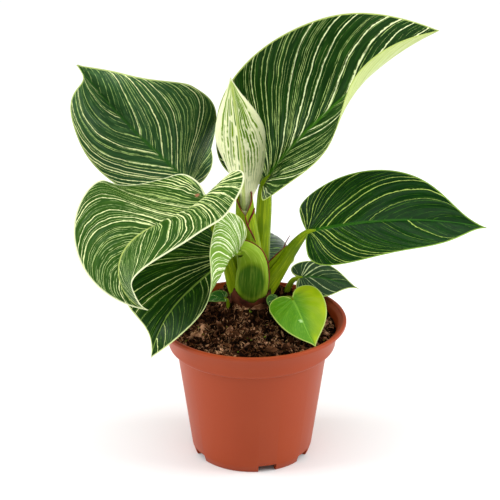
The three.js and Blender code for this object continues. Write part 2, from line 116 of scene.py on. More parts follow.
def cubic(corners: Sequence[tuple[float, float]], t: np.ndarray) -> np.ndarray:
    """A cubic Bezier curve: its four corners weighted by the Bernstein polynomials of t.

    Args:
        corners: the four corners.
        t: where to read the curve, 0 at the first corner and 1 at the last.

    Returns:
        One point for each entry of t.
    """
    a, b, c, d = (np.asarray(p, float) for p in corners)
    t = t[:, None]
    s = 1 - t
    return s**3 * a + 3 * s * s * t * b + 3 * s * t * t * c + t**3 * d


def read_line(line: np.ndarray, marks: np.ndarray, spots: np.ndarray) -> np.ndarray:
    """A line's points at the given spots, straight between the points at its own marks."""
    return np.stack([np.interp(spots, marks, line[:, k]) for k in range(line.shape[1])], axis=-1)


def lattice_noise(points: np.ndarray, seed: int) -> np.ndarray:
    """Smooth noise: random values at whole-number corners, blended by smoothstep between them.

    Args:
        points: any array of points, three numbers each.
        seed: picks the pattern.

    Returns:
        Values from -1 to 1, one for each point.
    """
    base = np.floor(points).astype(np.int64)
    f = points - base
    f = f * f * (3 - 2 * f)
    total = np.zeros(points.shape[:-1])
    for corner in range(8):
        step = np.array([corner & 1, corner >> 1 & 1, corner >> 2 & 1])
        x, y, z = (np.moveaxis(base + step, -1, 0)[k] * prime for k, prime in enumerate(HASH_PRIMES))
        mixed = x ^ y ^ z ^ seed * HASH_SEED
        mixed = (mixed ^ mixed >> 13) * HASH_MIX & HASH_MASK
        weight = np.prod(np.where(step, f, 1 - f), axis=-1)
        total += weight * (mixed / (HASH_MASK // 2) - 1)
    return total


def rough_noise(points: np.ndarray, seed: int, octaves: int = 4) -> np.ndarray:
    """Layers of lattice noise, each twice as fine and half as strong as the one before."""
    return sum(lattice_noise(points * 2.0**k, seed + 17 * k) / 2.0**k for k in range(octaves))


def unit(vectors: np.ndarray) -> np.ndarray:
    """The same vectors at length one."""
    return vectors / np.maximum(np.linalg.norm(vectors, axis=-1, keepdims=True), 1e-12)


def apart(angle: np.ndarray, other: float) -> np.ndarray:
    """Degrees between two directions, from 0 to 180."""
    return np.abs((angle - other + 180) % 360 - 180)


# ---------------------------------------------------------------- grids


def grid_faces(rows: int, columns: int, wrap: bool = True) -> np.ndarray:
    """A grid's faces: each joins a point, the next in its row, and the two below them.

    Args:
        rows: the grid's rows.
        columns: the grid's columns.
        wrap: whether the last column meets the first.

    Returns:
        Rows of four indices.
    """
    index = np.arange(rows * columns).reshape(rows, columns)
    if wrap:
        index = np.concatenate([index, index[:, :1]], axis=1)
    faces = np.stack([index[:-1, :-1], index[:-1, 1:], index[1:, 1:], index[1:, :-1]], axis=-1)
    return faces.reshape(-1, 4)


def rings(line: np.ndarray, first: np.ndarray, second: np.ndarray, radius: np.ndarray | float,
          sides: int) -> np.ndarray:
    """Circles round a line's points: radius times (cosine times one axis plus sine times another).

    Args:
        line: the centres, any shape ending in 3.
        first: the axis of angle 0 at each centre.
        second: the axis of angle 90 at each centre.
        radius: one number, or one for each centre.
        sides: points round each circle.

    Returns:
        A ring of points for each centre.
    """
    turn = np.arange(sides) * 2 * np.pi / sides
    circle = np.cos(turn)[:, None] * first[..., None, :] + np.sin(turn)[:, None] * second[..., None, :]
    return line[..., None, :] + np.asarray(radius)[..., None, None] * circle


def capped(body: np.ndarray) -> np.ndarray:
    """A tube's rings, with each end ring once more drawn together to its middle."""
    first, last = (np.broadcast_to(body[k].mean(axis=0), (1, *body.shape[1:])) for k in (0, -1))
    return np.concatenate([first, body, last])


def ring_fields(run: np.ndarray, turn: np.ndarray) -> dict[str, np.ndarray]:
    """The point fields of a tube: how far along it each point lies, and where round it."""
    return {"along": run + 0 * turn, "ring_x": np.cos(turn) + 0 * run, "ring_y": np.sin(turn) + 0 * run}


# ---------------------------------------------------------------- meshes


def put_in_scene(name: str, data: bpy.types.ID) -> bpy.types.Object:
    """A new object, linked to the scene.

    Args:
        name: its name.
        data: its mesh, camera or light.

    Returns:
        The object.
    """
    made = bpy.data.objects.new(name, data)
    bpy.context.scene.collection.objects.link(made)
    return made


class Draft:
    """Closed patches in millimetres that become one mesh, with a number of named point fields."""

    FIELDS = ("along", "across", "rib", "edge", "foot", "spread", "under", "ring_x", "ring_y", "tone")

    def __init__(self) -> None:
        """Starts empty."""
        self.points: list[np.ndarray] = []
        self.quads: list[np.ndarray] = []
        self.finishes: list[np.ndarray] = []
        self.fields: dict[str, list[np.ndarray]] = {name: [] for name in self.FIELDS}
        self.count = 0

    def add(self, points: np.ndarray, quads: np.ndarray, finish: int = 0, **fields: np.ndarray) -> None:
        """Adds one patch.

        Args:
            points: its points, any shape ending in 3.
            quads: rows of four indices into them.
            finish: which of the piece's finishes its faces take.
            fields: values for the points, by field name.
        """
        flat = np.asarray(points, float).reshape(-1, 3)
        self.points.append(flat)
        self.quads.append(quads + self.count)
        self.finishes.append(np.full(len(quads), finish))
        for name in self.FIELDS:
            value = fields.get(name, 0.0)
            self.fields[name].append(np.broadcast_to(value, np.shape(points)[:-1]).reshape(-1).astype(float))
        self.count += len(flat)

    def sheet(self, points: np.ndarray, finish: int = 0, wrap: bool = False, **fields: np.ndarray) -> None:
        """Adds a grid of rows and columns, whose last column meets the first if wrap is set."""
        self.add(points, grid_faces(*points.shape[:2], wrap), finish, **fields)

    def copies(self, points: np.ndarray, quads: np.ndarray, finish: int = 0, **fields: np.ndarray) -> None:
        """Adds many copies of one small shape.

        Args:
            points: a row of points for each copy.
            quads: the faces of one copy.
            finish: which of the piece's finishes they take.
            fields: values for the points, by field name.
        """
        count, size = points.shape[:2]
        shifted = quads[None] + (np.arange(count) * size)[:, None, None]
        self.add(points, shifted.reshape(-1, 4), finish, **fields)

    def build(self, name: str, finishes: Sequence["Finish"], replaced: Sequence[str],
              crease: float = 180.0) -> bpy.types.Object:
        """Makes the mesh, joins its seams, turns its faces outward and dresses it.

        Args:
            name: the object's name.
            finishes: its finishes, in the order of the patches' numbers.
            replaced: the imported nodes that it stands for.
            crease: the angle from which an edge shows sharp.

        Returns:
            The new object, riding on the part's one body.
        """
        mesh = bpy.data.meshes.new(name)
        points = np.concatenate(self.points) * MM
        quads = np.concatenate(self.quads)
        mesh.vertices.add(len(points))
        mesh.vertices.foreach_set("co", points.astype(np.float32).ravel())
        mesh.loops.add(quads.size)
        mesh.loops.foreach_set("vertex_index", quads.ravel().astype(np.int32))
        mesh.polygons.add(len(quads))
        mesh.polygons.foreach_set("loop_start", (np.arange(len(quads)) * 4).astype(np.int32))
        mesh.polygons.foreach_set("material_index", np.concatenate(self.finishes).astype(np.int32))
        for title, parts in self.fields.items():
            values = np.concatenate(parts).astype(np.float32)
            if np.any(values):
                mesh.attributes.new(title, "FLOAT", "POINT").data.foreach_set("value", values)
        mesh.update(calc_edges=True)
        work = bmesh.new()
        work.from_mesh(mesh)
        bmesh.ops.remove_doubles(work, verts=work.verts, dist=WELD)
        bmesh.ops.dissolve_degenerate(work, edges=work.edges, dist=SLIVER)
        bmesh.ops.recalc_face_normals(work, faces=work.faces)
        work.to_mesh(mesh)
        work.free()
        mesh.shade_smooth()
        if crease < 180:
            mesh.set_sharp_from_angle(angle=math.radians(crease))
        for finish in finishes:
            mesh.materials.append(finish.material())
        piece = put_in_scene(name, mesh)
        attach(piece, "root")
        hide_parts(*replaced)
        LOG.info("%s: %d faces", name, len(mesh.polygons))
        return piece


# ---------------------------------------------------------------- finishes


@dataclass(frozen=True)
class Wire:
    """A node's output, with which a sum can be written as plain arithmetic."""

    nodes: "NodeSheet"
    socket: bpy.types.NodeSocket

    def __add__(self, other: object) -> "Wire":
        """The sum."""
        return self.nodes.math("ADD", self, other)

    def __sub__(self, other: object) -> "Wire":
        """The difference."""
        return self.nodes.math("SUBTRACT", self, other)

    def __mul__(self, other: object) -> "Wire":
        """The product."""
        return self.nodes.math("MULTIPLY", self, other)

    def __truediv__(self, other: object) -> "Wire":
        """The quotient."""
        return self.nodes.math("DIVIDE", self, other)

    def __abs__(self) -> "Wire":
        """The value without its sign."""
        return self.nodes.math("ABSOLUTE", self)


class NodeSheet:
    """One material's nodes, made by short calls that return wires."""

    def __init__(self, name: str) -> None:
        """Starts the material with its output and shader.

        Args:
            name: the material's name.
        """
        self.material = bpy.data.materials.new(name)
        self.material.use_nodes = True
        self.tree = self.material.node_tree
        self.tree.nodes.clear()
        self.shader = self.tree.nodes.new("ShaderNodeBsdfPrincipled")
        out = self.tree.nodes.new("ShaderNodeOutputMaterial")
        self.tree.links.new(self.shader.outputs["BSDF"], out.inputs["Surface"])

    def put(self, socket: bpy.types.NodeSocket, value: object) -> None:
        """Links a wire to a socket, or sets the socket to a plain value.

        Args:
            socket: the input.
            value: a wire, a number or a tuple. A colour gets its full opacity here.
        """
        if isinstance(value, Wire):
            self.tree.links.new(value.socket, socket)
        elif isinstance(value, tuple) and socket.type == "RGBA":
            socket.default_value = (*value, 1.0)
        else:
            socket.default_value = value

    def node(self, kind: str, output: int | str, inputs: dict[int | str, object], **settings: object) -> Wire:
        """Adds one node.

        Args:
            kind: its type, without the words all shader nodes start with.
            output: which output to read.
            inputs: wires and plain values, by the input's name or number.
            settings: the node's own options.

        Returns:
            The output that was asked for.
        """
        node = self.tree.nodes.new("ShaderNode" + kind)
        for name, value in settings.items():
            setattr(node, name, value)
        for key, value in inputs.items():
            self.put(node.inputs[key], value)
        return Wire(self, node.outputs[output])

    def math(self, operation: str, *values: object, clamp: bool = False) -> Wire:
        """One Math node."""
        return self.node("Math", 0, dict(enumerate(values)), operation=operation, use_clamp=clamp)

    def field(self, name: str) -> Wire:
        """The value of one of the mesh's point fields."""
        return self.node("Attribute", "Fac", {}, attribute_name=name)

    def place(self) -> Wire:
        """The point's own coordinates, in metres."""
        return self.node("TexCoord", "Object", {})

    def vector(self, x: object, y: object, z: object) -> Wire:
        """A vector of three values."""
        return self.node("CombineXYZ", 0, {0: x, 1: y, 2: z})

    def noise(self, vector: Wire, scale: float, detail: float = 2.0, roughness: float = 0.5) -> Wire:
        """Fractal noise from 0 to 1."""
        inputs = {"Vector": vector, "Scale": scale, "Detail": detail, "Roughness": roughness}
        return self.node("TexNoise", "Fac", inputs)

    def drawn_out(self, place: Wire, run: Wire, stretch: tuple[float, float], seed: float,
                  *grain: float) -> Wire:
        """Noise on two fields of a blade, the longer along one of them the smaller its factor.

        Args:
            place: the field across the streaks.
            run: the field along them.
            stretch: the factor for each of the two.
            seed: picks the pattern.
            grain: the noise's scale, detail and roughness.

        Returns:
            The noise, from 0 to 1.
        """
        return self.noise(self.vector(place * stretch[0], run * stretch[1], seed), *grain)

    def chance(self, value: Wire) -> Wire:
        """A random number from 0 to 1 for each value."""
        return self.node("TexWhiteNoise", "Value", {"W": value}, noise_dimensions="1D")

    def ease(self, value: Wire, low: object, high: object, start: float = 0.0, end: float = 1.0) -> Wire:
        """A smooth step from start at low to end at high."""
        inputs = dict(enumerate((value, low, high, start, end)))
        return self.node("MapRange", "Result", inputs, interpolation_type="SMOOTHSTEP")

    def mix(self, share: Wire, first: object, second: object) -> Wire:
        """A colour between two, by share."""
        return self.node("Mix", 2, {0: share, 6: first, 7: second}, data_type="RGBA")

    def far_from(self, place: Place) -> Wire:
        """Millimetres from a place, given in millimetres."""
        inputs = {0: self.place(), 1: tuple(value * MM for value in place)}
        return self.node("VectorMath", "Value", inputs, operation="DISTANCE") / MM

    def bump(self, height: Wire, distance: float, strength: float) -> None:
        """Gives the shader a normal from a height, which is a share of distance in metres."""
        inputs = {"Strength": strength, "Distance": distance, "Height": height}
        self.put(self.shader.inputs["Normal"], self.node("Bump", "Normal", inputs))

    def dress(self, **values: object) -> bpy.types.Material:
        """Sets the shader's inputs, named with _ for a space, and returns the material."""
        for name, value in values.items():
            self.put(self.shader.inputs[name.replace("_", " ")], value)
        return self.material


@dataclass(frozen=True)
class Finish:
    """What every finish has: a name and a slot."""

    name: str
    slot: str

    def material(self) -> bpy.types.Material:
        """The finish's material, made once and then shared."""
        return bpy.data.materials.get(self.name) or self.make()

    def make(self) -> bpy.types.Material:
        """Builds the material."""
        raise NotImplementedError


# A leaf's noise scales, waves per metre of the leaf: its clouds, its stripes' bends and ragged
# edges, and a scar's torn edge.
CLOUD_SCALE, SWAY_SCALE, RAGGED_SCALE, SCAR_SCALE = 38.0, 85.0, 430.0, 1300.0
# What each kind of draw adds to a leaf's seed, and the cells between the numbers of its halves.
BOLD_DRAW, KEPT_DRAW, PIN_DRAW, UNDER_DRAW, OTHER_HALF = 31.7, 77.1, 5.3, 9.4, 91.0
# In cells: the band that a stripe's middle may lie in, and its shifts by slow and quick noise.
OFF_MIDDLE, SLOW_DRIFT, QUICK_DRIFT = 0.55, 0.4, 0.11


@dataclass(frozen=True)
class BladeFinish(Finish):
    """A leaf's skin: green between cream stripes that follow the side veins.

    Widths and the sway are millimetres. A share is a part of 1, and a count is for one half.
    """

    ground: Colour = (0.006, 0.034, 0.002)
    ground_light: Colour = (0.03, 0.095, 0.01)
    stripe: Colour = (0.86, 0.93, 0.44)
    thin_stripe: Colour = (0.56, 0.72, 0.22)
    stripes: float = 24.0
    stripe_width: float = 0.6
    stripe_share: float = 0.9
    pin: Colour = (0.3, 0.48, 0.11)
    pins: float = 0.9
    pin_width: float = 0.32
    pins_per_stripe: float = 2.8
    pin_share: float = 0.95
    sway: float = 1.7
    midrib: Colour = (0.022, 0.1, 0.008)
    margin: Colour = (0.42, 0.52, 0.13)
    under: Colour = (0.16, 0.27, 0.06)
    under_vein: Colour = (0.5, 0.6, 0.28)
    pale_base: float = 0.0
    pale_band: float = 0.0
    margin_width: float = 1.0
    under_veins: float = 0.0
    under_vein_width: float = 0.75
    lengthwise: bool = False
    roughness: float = 0.36
    gloss: float = 0.13
    flush: Colour | None = None
    scar: Place | None = None
    scar_colour: Colour = (0.7, 0.78, 0.4)
    seed: float = 1.0

    def stripe_set(self, nodes: NodeSheet, count: float, width: float, share: float,
                   seed: float) -> tuple[Wire, Wire]:
        """Stripes along the veins: each cell of the margin may hold one, off its middle by chance.

        The field spread says how many millimetres a whole margin's cells take up at a point.
        It turns widths and sways into cells, and where the cells crowd, fewer hold a stripe.

        Args:
            nodes: the material's nodes.
            count: cells along one half's margin.
            width: the widest stripe's half width, in millimetres.
            share: the share of cells that hold a stripe.
            seed: picks the pattern.

        Returns:
            A mask, 1 on the stripes, and how bold each of them is.
        """
        taper_ends, widest, core = ((0.5, 1.3), 0.42, 0.75) if self.lengthwise else ((1.0, 0.75), 0.26, 0.4)
        along, across, spread = (nodes.field(name) for name in ("along", "across", "spread"))
        place, run = (abs(across), along) if self.lengthwise else (along, abs(across))
        slow = nodes.drawn_out(place, run, (7.0, 1.0), seed, 1.6)
        quick = nodes.noise(nodes.place(), RAGGED_SCALE, 3.0)
        swayed = place + (nodes.noise(nodes.place(), SWAY_SCALE, 1.0) - 0.5) * self.sway / spread
        cells = swayed * count + (slow * SLOW_DRIFT + quick * QUICK_DRIFT)
        cell = nodes.math("GREATER_THAN", across, 0.0) * OTHER_HALF + nodes.math("FLOOR", cells)
        offset = (nodes.chance(cell + seed) - 0.5) * OFF_MIDDLE
        away = abs(nodes.math("FRACT", cells) - 0.5 - offset)
        boldness = nodes.chance(cell + (seed + BOLD_DRAW))
        bolder = nodes.math("POWER", boldness, 2.0)
        taper = nodes.ease(run, 0.1, 0.9, *taper_ends)
        if self.pale_base:
            taper = taper * nodes.ease(nodes.field("foot"), 0.08, 0.55, 1 + self.pale_base, 1.0)
        ragged = nodes.ease(quick, 0.35, 0.65, 0.65, 1.3)
        half = (bolder * (0.75 * width) + 0.25 * width) * taper * (ragged * count) / spread
        half = nodes.math("MINIMUM", half, widest)
        mask = nodes.ease(away, half, half * core)
        if self.lengthwise:
            kept = share
            worn = nodes.noise(nodes.vector(cell * 5.7, run * 11.0 + boldness * 40.0, seed), 1.0)
            worn = nodes.ease(worn, 0.36, 0.46)
        else:
            kept = nodes.ease(spread / count, 0.4, 2.0, 0.3, 1.0) * share
            worn = nodes.drawn_out(place, run, (70.0, 7.0), seed, 1.4, 3.0, 0.6)
            worn = nodes.ease(worn, 0.3, 0.46, 0.3, 1.0)
        drawn = nodes.chance(cell + (seed + KEPT_DRAW))
        return mask * nodes.ease(nodes.math("SUBTRACT", kept, drawn), 0.0, 0.1) * worn, bolder

    def make(self) -> bpy.types.Material:
        """Ground, fine streaks, pins, stripes, midrib, margin and underside, laid in that order.

        Returns:
            The material.
        """
        nodes = NodeSheet(self.name)
        along, across = nodes.field("along"), nodes.field("across")
        place, run = (across, along) if self.lengthwise else (along, across)
        streaks = nodes.drawn_out(place, run, (110.0, 5.0), self.seed, 1.0, 3.0, 0.6)
        cloud = nodes.noise(nodes.place(), CLOUD_SCALE)
        tone = nodes.math("MULTIPLY_ADD", nodes.ease(streaks, 0.42, 0.75), 0.7, cloud * 0.35, clamp=True)
        skin = nodes.mix(tone, self.ground, self.ground_light)
        if self.flush:
            flushed = nodes.ease(across, -0.1, -0.9) * nodes.ease(cloud, 0.3, 0.55, 0.4, 1.0)
            skin = nodes.mix(flushed, skin, self.flush)
        broken = nodes.drawn_out(place, run, (30.0, 5.0), self.seed, 1.3, 3.0)
        fine, _ = self.stripe_set(nodes, self.pins_per_stripe * self.stripes, self.pin_width,
                                  self.pin_share, self.seed + PIN_DRAW)
        fine = fine * nodes.ease(broken, 0.38, 0.52)
        bold, boldness = self.stripe_set(nodes, self.stripes, self.stripe_width, self.stripe_share, self.seed)
        paint = nodes.mix(nodes.ease(boldness, 0.05, 0.5), self.thin_stripe, self.stripe)
        if self.lengthwise:
            inner = 1 - self.pale_band
            clear = nodes.ease(along, 0.22, 0.55, 0.12, 1.0) * nodes.ease(abs(across), inner, inner - 0.15)
            fine, bold = fine * clear, bold * clear
        skin = nodes.mix(fine * self.pins, skin, self.pin)
        skin = nodes.mix(bold, skin, paint)
        if self.lengthwise:
            skin = nodes.mix(nodes.ease(along, 0.86, 1.0, 0.0, 0.6), skin, self.pin)
        skin = nodes.mix(nodes.ease(nodes.field("rib"), 1.0, 0.35, 0.0, 0.8), skin, self.midrib)
        rim = nodes.ease(nodes.field("edge"), self.margin_width, 0.4 * self.margin_width)
        skin = nodes.mix(rim, skin, self.margin)
        if not self.lengthwise:
            skin = nodes.mix(nodes.field("under"), skin, self.underside(nodes, tone, fine, bold, rim))
        if self.scar:
            torn = nodes.noise(nodes.place(), SCAR_SCALE) * -3.4 + 1.9
            skin = nodes.mix(nodes.ease(nodes.far_from(self.scar) + torn, 1.9, 1.1), skin, self.scar_colour)
        nodes.bump(streaks * 0.5 + bold * 0.5, 0.0004, 0.45)
        shine = cloud * 0.16 + (self.roughness - 0.08)
        return nodes.dress(Base_Color=skin, Roughness=shine, Specular_IOR_Level=self.gloss)

    def underside(self, nodes: NodeSheet, tone: Wire, fine: Wire, bold: Wire, rim: Wire) -> Wire:
        """The underside's colour.

        Args:
            nodes: the material's nodes.
            tone: where the ground is light.
            fine: the pins' mask.
            bold: the stripes' mask.
            rim: the margin's mask.

        Returns:
            A paler ground with veins where the upper face has its stripes.
        """
        veins = nodes.math("MAXIMUM", fine * 0.6, bold)
        if self.under_veins:
            more, _ = self.stripe_set(nodes, self.under_veins, self.under_vein_width, 1.0,
                                      self.seed + UNDER_DRAW)
            veins = nodes.math("MAXIMUM", veins, more)
        back = nodes.mix(tone * 0.6, self.under, self.pin)
        return nodes.mix(rim, nodes.mix(veins, back, self.under_vein), self.margin)


@dataclass(frozen=True)
class StalkFinish(Finish):
    """A petiole's skin: fine streaks that run along it, and painted shade in a front hollow."""

    ground: Colour = (0.17, 0.27, 0.003)
    streak: Colour = (0.42, 0.52, 0.01)
    shade: Colour = (0.06, 0.15, 0.002)
    # Painted shade: the dark colour laid into a stalk's front hollow.
    pit_shade: Colour = (0.03, 0.1, 0.002)
    roughness: float = 0.42

    def make(self) -> bpy.types.Material:
        """Streaks from noise that is drawn out along the stalk and closes round it, and painted shade where
        the field tone marks the front hollow.

        Returns:
            The material.
        """
        nodes = NodeSheet(self.name)
        round_it = [nodes.field(name) * 7.0 for name in ("ring_x", "ring_y")]
        streaks = nodes.noise(nodes.vector(*round_it, nodes.field("along") * 0.05), 1.4, 4.0, 0.6)
        broad = nodes.noise(nodes.place(), 55.0)
        skin = nodes.mix(nodes.ease(streaks, 0.46, 0.72), self.ground, self.streak)
        skin = nodes.mix(nodes.ease(broad, 0.45, 0.8, 0.0, 0.7), skin, self.shade)
        # Painted shade: inside the front hollow (field tone) the dark pit colour, lightly streaked, stands
        # for the shade there.
        deep = nodes.mix(nodes.ease(streaks, 0.4, 0.75, 0.0, 0.35), self.pit_shade, self.streak)
        skin = nodes.mix(nodes.ease(nodes.field("tone"), 0.0, 0.5, 0.0, 0.92), skin, deep)
        nodes.bump(streaks, 0.0005, 0.35)
        return nodes.dress(Base_Color=skin, Roughness=self.roughness, Specular_IOR_Level=0.11)


@dataclass(frozen=True)
class SoilFinish(Finish):
    """Moist peat: dark crumbs with browner ones among them."""

    dark: Colour = (0.004, 0.0013, 0.0004)
    middle: Colour = (0.125, 0.049, 0.021)
    light: Colour = (0.6, 0.32, 0.18)

    def make(self) -> bpy.types.Material:
        """Each crumb's own tone, broken up by fine noise.

        Returns:
            The material.
        """
        nodes = NodeSheet(self.name)
        place = nodes.place()
        grain, patch = nodes.noise(place, 900.0, 4.0, 0.7), nodes.noise(place, 160.0, 3.0, 0.6)
        tone = nodes.math("MULTIPLY_ADD", nodes.field("tone"), 0.75, (patch - 0.35) * 0.6, clamp=True)
        tone = tone * nodes.ease(nodes.noise(place, 60.0), 0.36, 0.64, 0.65, 1.4)
        skin = nodes.mix(nodes.ease(tone, 0.14, 0.58), self.dark, self.middle)
        skin = nodes.mix(nodes.ease(tone * (grain + 0.5), 0.44, 0.92), skin, self.light)
        nodes.bump(grain, 0.0008, 0.8)
        return nodes.dress(Base_Color=skin, Roughness=0.85, Specular_IOR_Level=0.03)


@dataclass(frozen=True)
class PlasticFinish(Finish):
    """Satin moulded plastic with faint flow marks."""

    colour: Colour = (0.31, 0.042, 0.007)
    worn: Colour = (0.34, 0.055, 0.012)

    def make(self) -> bpy.types.Material:
        """Cloudy flow marks in the colour, fine orange peel in the gloss.

        Returns:
            The material.
        """
        nodes = NodeSheet(self.name)
        cloud = nodes.noise(nodes.place(), 22.0, 3.0)
        skin = nodes.mix(nodes.ease(cloud, 0.35, 0.8, 0.0, 0.5), self.colour, self.worn)
        nodes.bump(nodes.noise(nodes.place(), 700.0), 0.0001, 0.3)
        return nodes.dress(Base_Color=skin, Roughness=cloud * 0.14 + 0.36, Specular_IOR_Level=0.22)


@dataclass(frozen=True)
class PlainFinish(Finish):
    """A natural surface of two colours that noise blends, such as a dry sheath or moss."""

    first: Colour
    second: Colour
    scale: float = 300.0
    roughness: float = 0.7

    def make(self) -> bpy.types.Material:
        """Two colours blended by fractal noise.

        Returns:
            The material.
        """
        nodes = NodeSheet(self.name)
        grain = nodes.noise(nodes.place(), self.scale, 4.0, 0.6)
        nodes.bump(grain, 0.0004, 0.5)
        skin = nodes.mix(nodes.ease(grain, 0.35, 0.65), self.first, self.second)
        return nodes.dress(Base_Color=skin, Roughness=self.roughness, Specular_IOR_Level=0.12)


class Skin(Enum):
    """The finishes of the plant's leaves."""

    TOP = BladeFinish("leaf_skin_top", "leaf", stripes=27, stripe_width=0.82,
                      ground=(0.003, 0.022, 0.001), ground_light=(0.02, 0.08, 0.006),
                      stripe=(0.86, 0.95, 0.5), pin=(0.48, 0.66, 0.2), midrib=(0.035, 0.14, 0.001),
                      under=(0.5, 0.56, 0.22), under_vein=(0.34, 0.44, 0.12), margin_width=1.2,
                      gloss=0.08, seed=3.0)
    # Here ground_light is partly the leaf's own lighter streaky ground and partly painted sheen: it is raised
    # and bluish-grey to stand for a reflection.
    UPPER_LEFT = BladeFinish("leaf_skin_upper_left", "leaf", stripes=26, stripe_width=0.62,
                             ground=(0.013, 0.05, 0.012), ground_light=(0.062, 0.152, 0.042),
                             pin=(0.42, 0.6, 0.18), pin_width=0.4, margin=(0.42, 0.52, 0.16),
                             margin_width=1.2, gloss=0.1, seed=11.0)
    FRONT_LEFT = BladeFinish("leaf_skin_front_left", "leaf", stripes=40, stripe_width=0.45, sway=3.2,
                             stripe_share=0.95, ground=(0.012, 0.055, 0.002),
                             ground_light=(0.05, 0.125, 0.012), midrib=(0.5, 0.6, 0.16),
                             pin=(0.5, 0.64, 0.24), margin=(0.75, 0.8, 0.48), margin_width=1.5,
                             pale_base=1.8, gloss=0.08, scar=(-33.7, -11.1, 178.6),
                             scar_colour=(0.32, 0.14, 0.07), seed=21.0)
    LOWER_LEFT = BladeFinish("leaf_skin_lower_left", "leaf", stripes=26, stripe_width=0.42,
                             ground=(0.003, 0.02, 0.001), ground_light=(0.016, 0.066, 0.003),
                             stripe=(0.66, 0.74, 0.28), thin_stripe=(0.3, 0.45, 0.1),
                             pin=(0.12, 0.25, 0.02), midrib=(0.3, 0.45, 0.08), under=(0.16, 0.3, 0.03),
                             under_vein=(0.84, 0.92, 0.6), under_veins=44.0,
                             margin=(0.6, 0.68, 0.3), gloss=0.07, seed=31.0)
    RIGHT = BladeFinish("leaf_skin_right", "leaf", stripes=20, stripe_width=0.42, stripe_share=0.75,
                        ground=(0.001, 0.022, 0.001), ground_light=(0.007, 0.06, 0.001),
                        stripe=(0.5, 0.66, 0.14), thin_stripe=(0.2, 0.38, 0.05),
                        pin=(0.08, 0.22, 0.01), pins=0.7, midrib=(0.02, 0.12, 0.001),
                        margin=(0.24, 0.4, 0.05), roughness=0.25, gloss=0.13, seed=41.0)
    SMALL_RIGHT = BladeFinish("leaf_skin_small_right", "leaf", stripes=10, stripe_width=0.55,
                              pins=0.4, pin_width=0.14, ground=(0.01, 0.04, 0.01),
                              ground_light=(0.03, 0.075, 0.02), stripe=(0.6, 0.7, 0.36),
                              thin_stripe=(0.3, 0.42, 0.14), seed=51.0)
    BACK = BladeFinish("leaf_skin_back", "leaf", stripes=16, stripe_width=0.5,
                       ground=(0.012, 0.035, 0.014), ground_light=(0.04, 0.075, 0.03),
                       stripe=(0.3, 0.42, 0.2), thin_stripe=(0.12, 0.2, 0.08), stripe_share=0.5, seed=61.0)
    HEART = BladeFinish("leaf_skin_heart", "young_leaf", stripes=6, stripe_share=0.0, pins=0.3,
                        ground=(0.055, 0.22, 0.003), ground_light=(0.16, 0.34, 0.015),
                        pin=(0.3, 0.5, 0.03), midrib=(0.2, 0.42, 0.03), margin=(0.45, 0.58, 0.12),
                        under=(0.2, 0.35, 0.06), roughness=0.3, gloss=0.2,
                        flush=(0.38, 0.5, 0.002), scar=(30.5, -17.5, 96.9),
                        scar_colour=(0.36, 0.58, 0.2), seed=71.0)
    SPROUT = BladeFinish("leaf_skin_sprout", "young_leaf", stripes=5, stripe_share=0.3,
                         stripe_width=0.3, pin_width=0.12, pins=0.4, ground=(0.008, 0.06, 0.004),
                         ground_light=(0.04, 0.14, 0.02), margin=(0.1, 0.2, 0.03), seed=81.0)
    NEW = BladeFinish("leaf_skin_new", "new_leaf", stripes=10, stripe_width=1.4, stripe_share=0.85,
                      ground=(0.9, 0.92, 0.5), ground_light=(0.95, 0.95, 0.76),
                      stripe=(0.08, 0.19, 0.003), thin_stripe=(0.19, 0.34, 0.006),
                      pin=(0.3, 0.46, 0.01), pins=0.5, pin_width=0.4, midrib=(0.5, 0.62, 0.14),
                      margin=(0.78, 0.82, 0.5), lengthwise=True, pale_band=0.12, seed=91.0)


GREEN_STALK = StalkFinish("petiole_skin", "leaf")
# The hood's pit colour is painted shade for its front hollow.
DEEP_STALK = StalkFinish("hood_skin", "leaf", ground=(0.19, 0.32, 0.012), streak=(0.36, 0.48, 0.06),
                         shade=(0.12, 0.24, 0.006), pit_shade=(0.022, 0.1, 0.001))
PALE_STALK = StalkFinish("new_leaf_stalk_skin", "new_leaf", ground=(0.72, 0.76, 0.36),
                         streak=(0.88, 0.88, 0.58), shade=(0.6, 0.66, 0.26))
MAROON = PlainFinish("sheath_margin", "leaf", first=(0.1, 0.008, 0.012), second=(0.22, 0.02, 0.02))
DRY = PlainFinish("dried_sheath_skin", "dried_sheath", first=(0.02, 0.004, 0.002),
                  second=(0.1, 0.023, 0.007), scale=140.0)
SOIL_SKIN = SoilFinish("soil_skin", "soil")
FIBRE = SoilFinish("fibre_skin", "soil", dark=(0.02, 0.006, 0.002), middle=(0.19, 0.07, 0.026),
                   light=(0.6, 0.34, 0.18))
MOSS = PlainFinish("moss_skin", "soil", first=(0.12, 0.25, 0.01), second=(0.3, 0.45, 0.03))
POT_SKIN = PlasticFinish("pot_skin", "pot")
STEM_SKIN = StalkFinish("stem_skin", "stem")


# ---------------------------------------------------------------- leaves


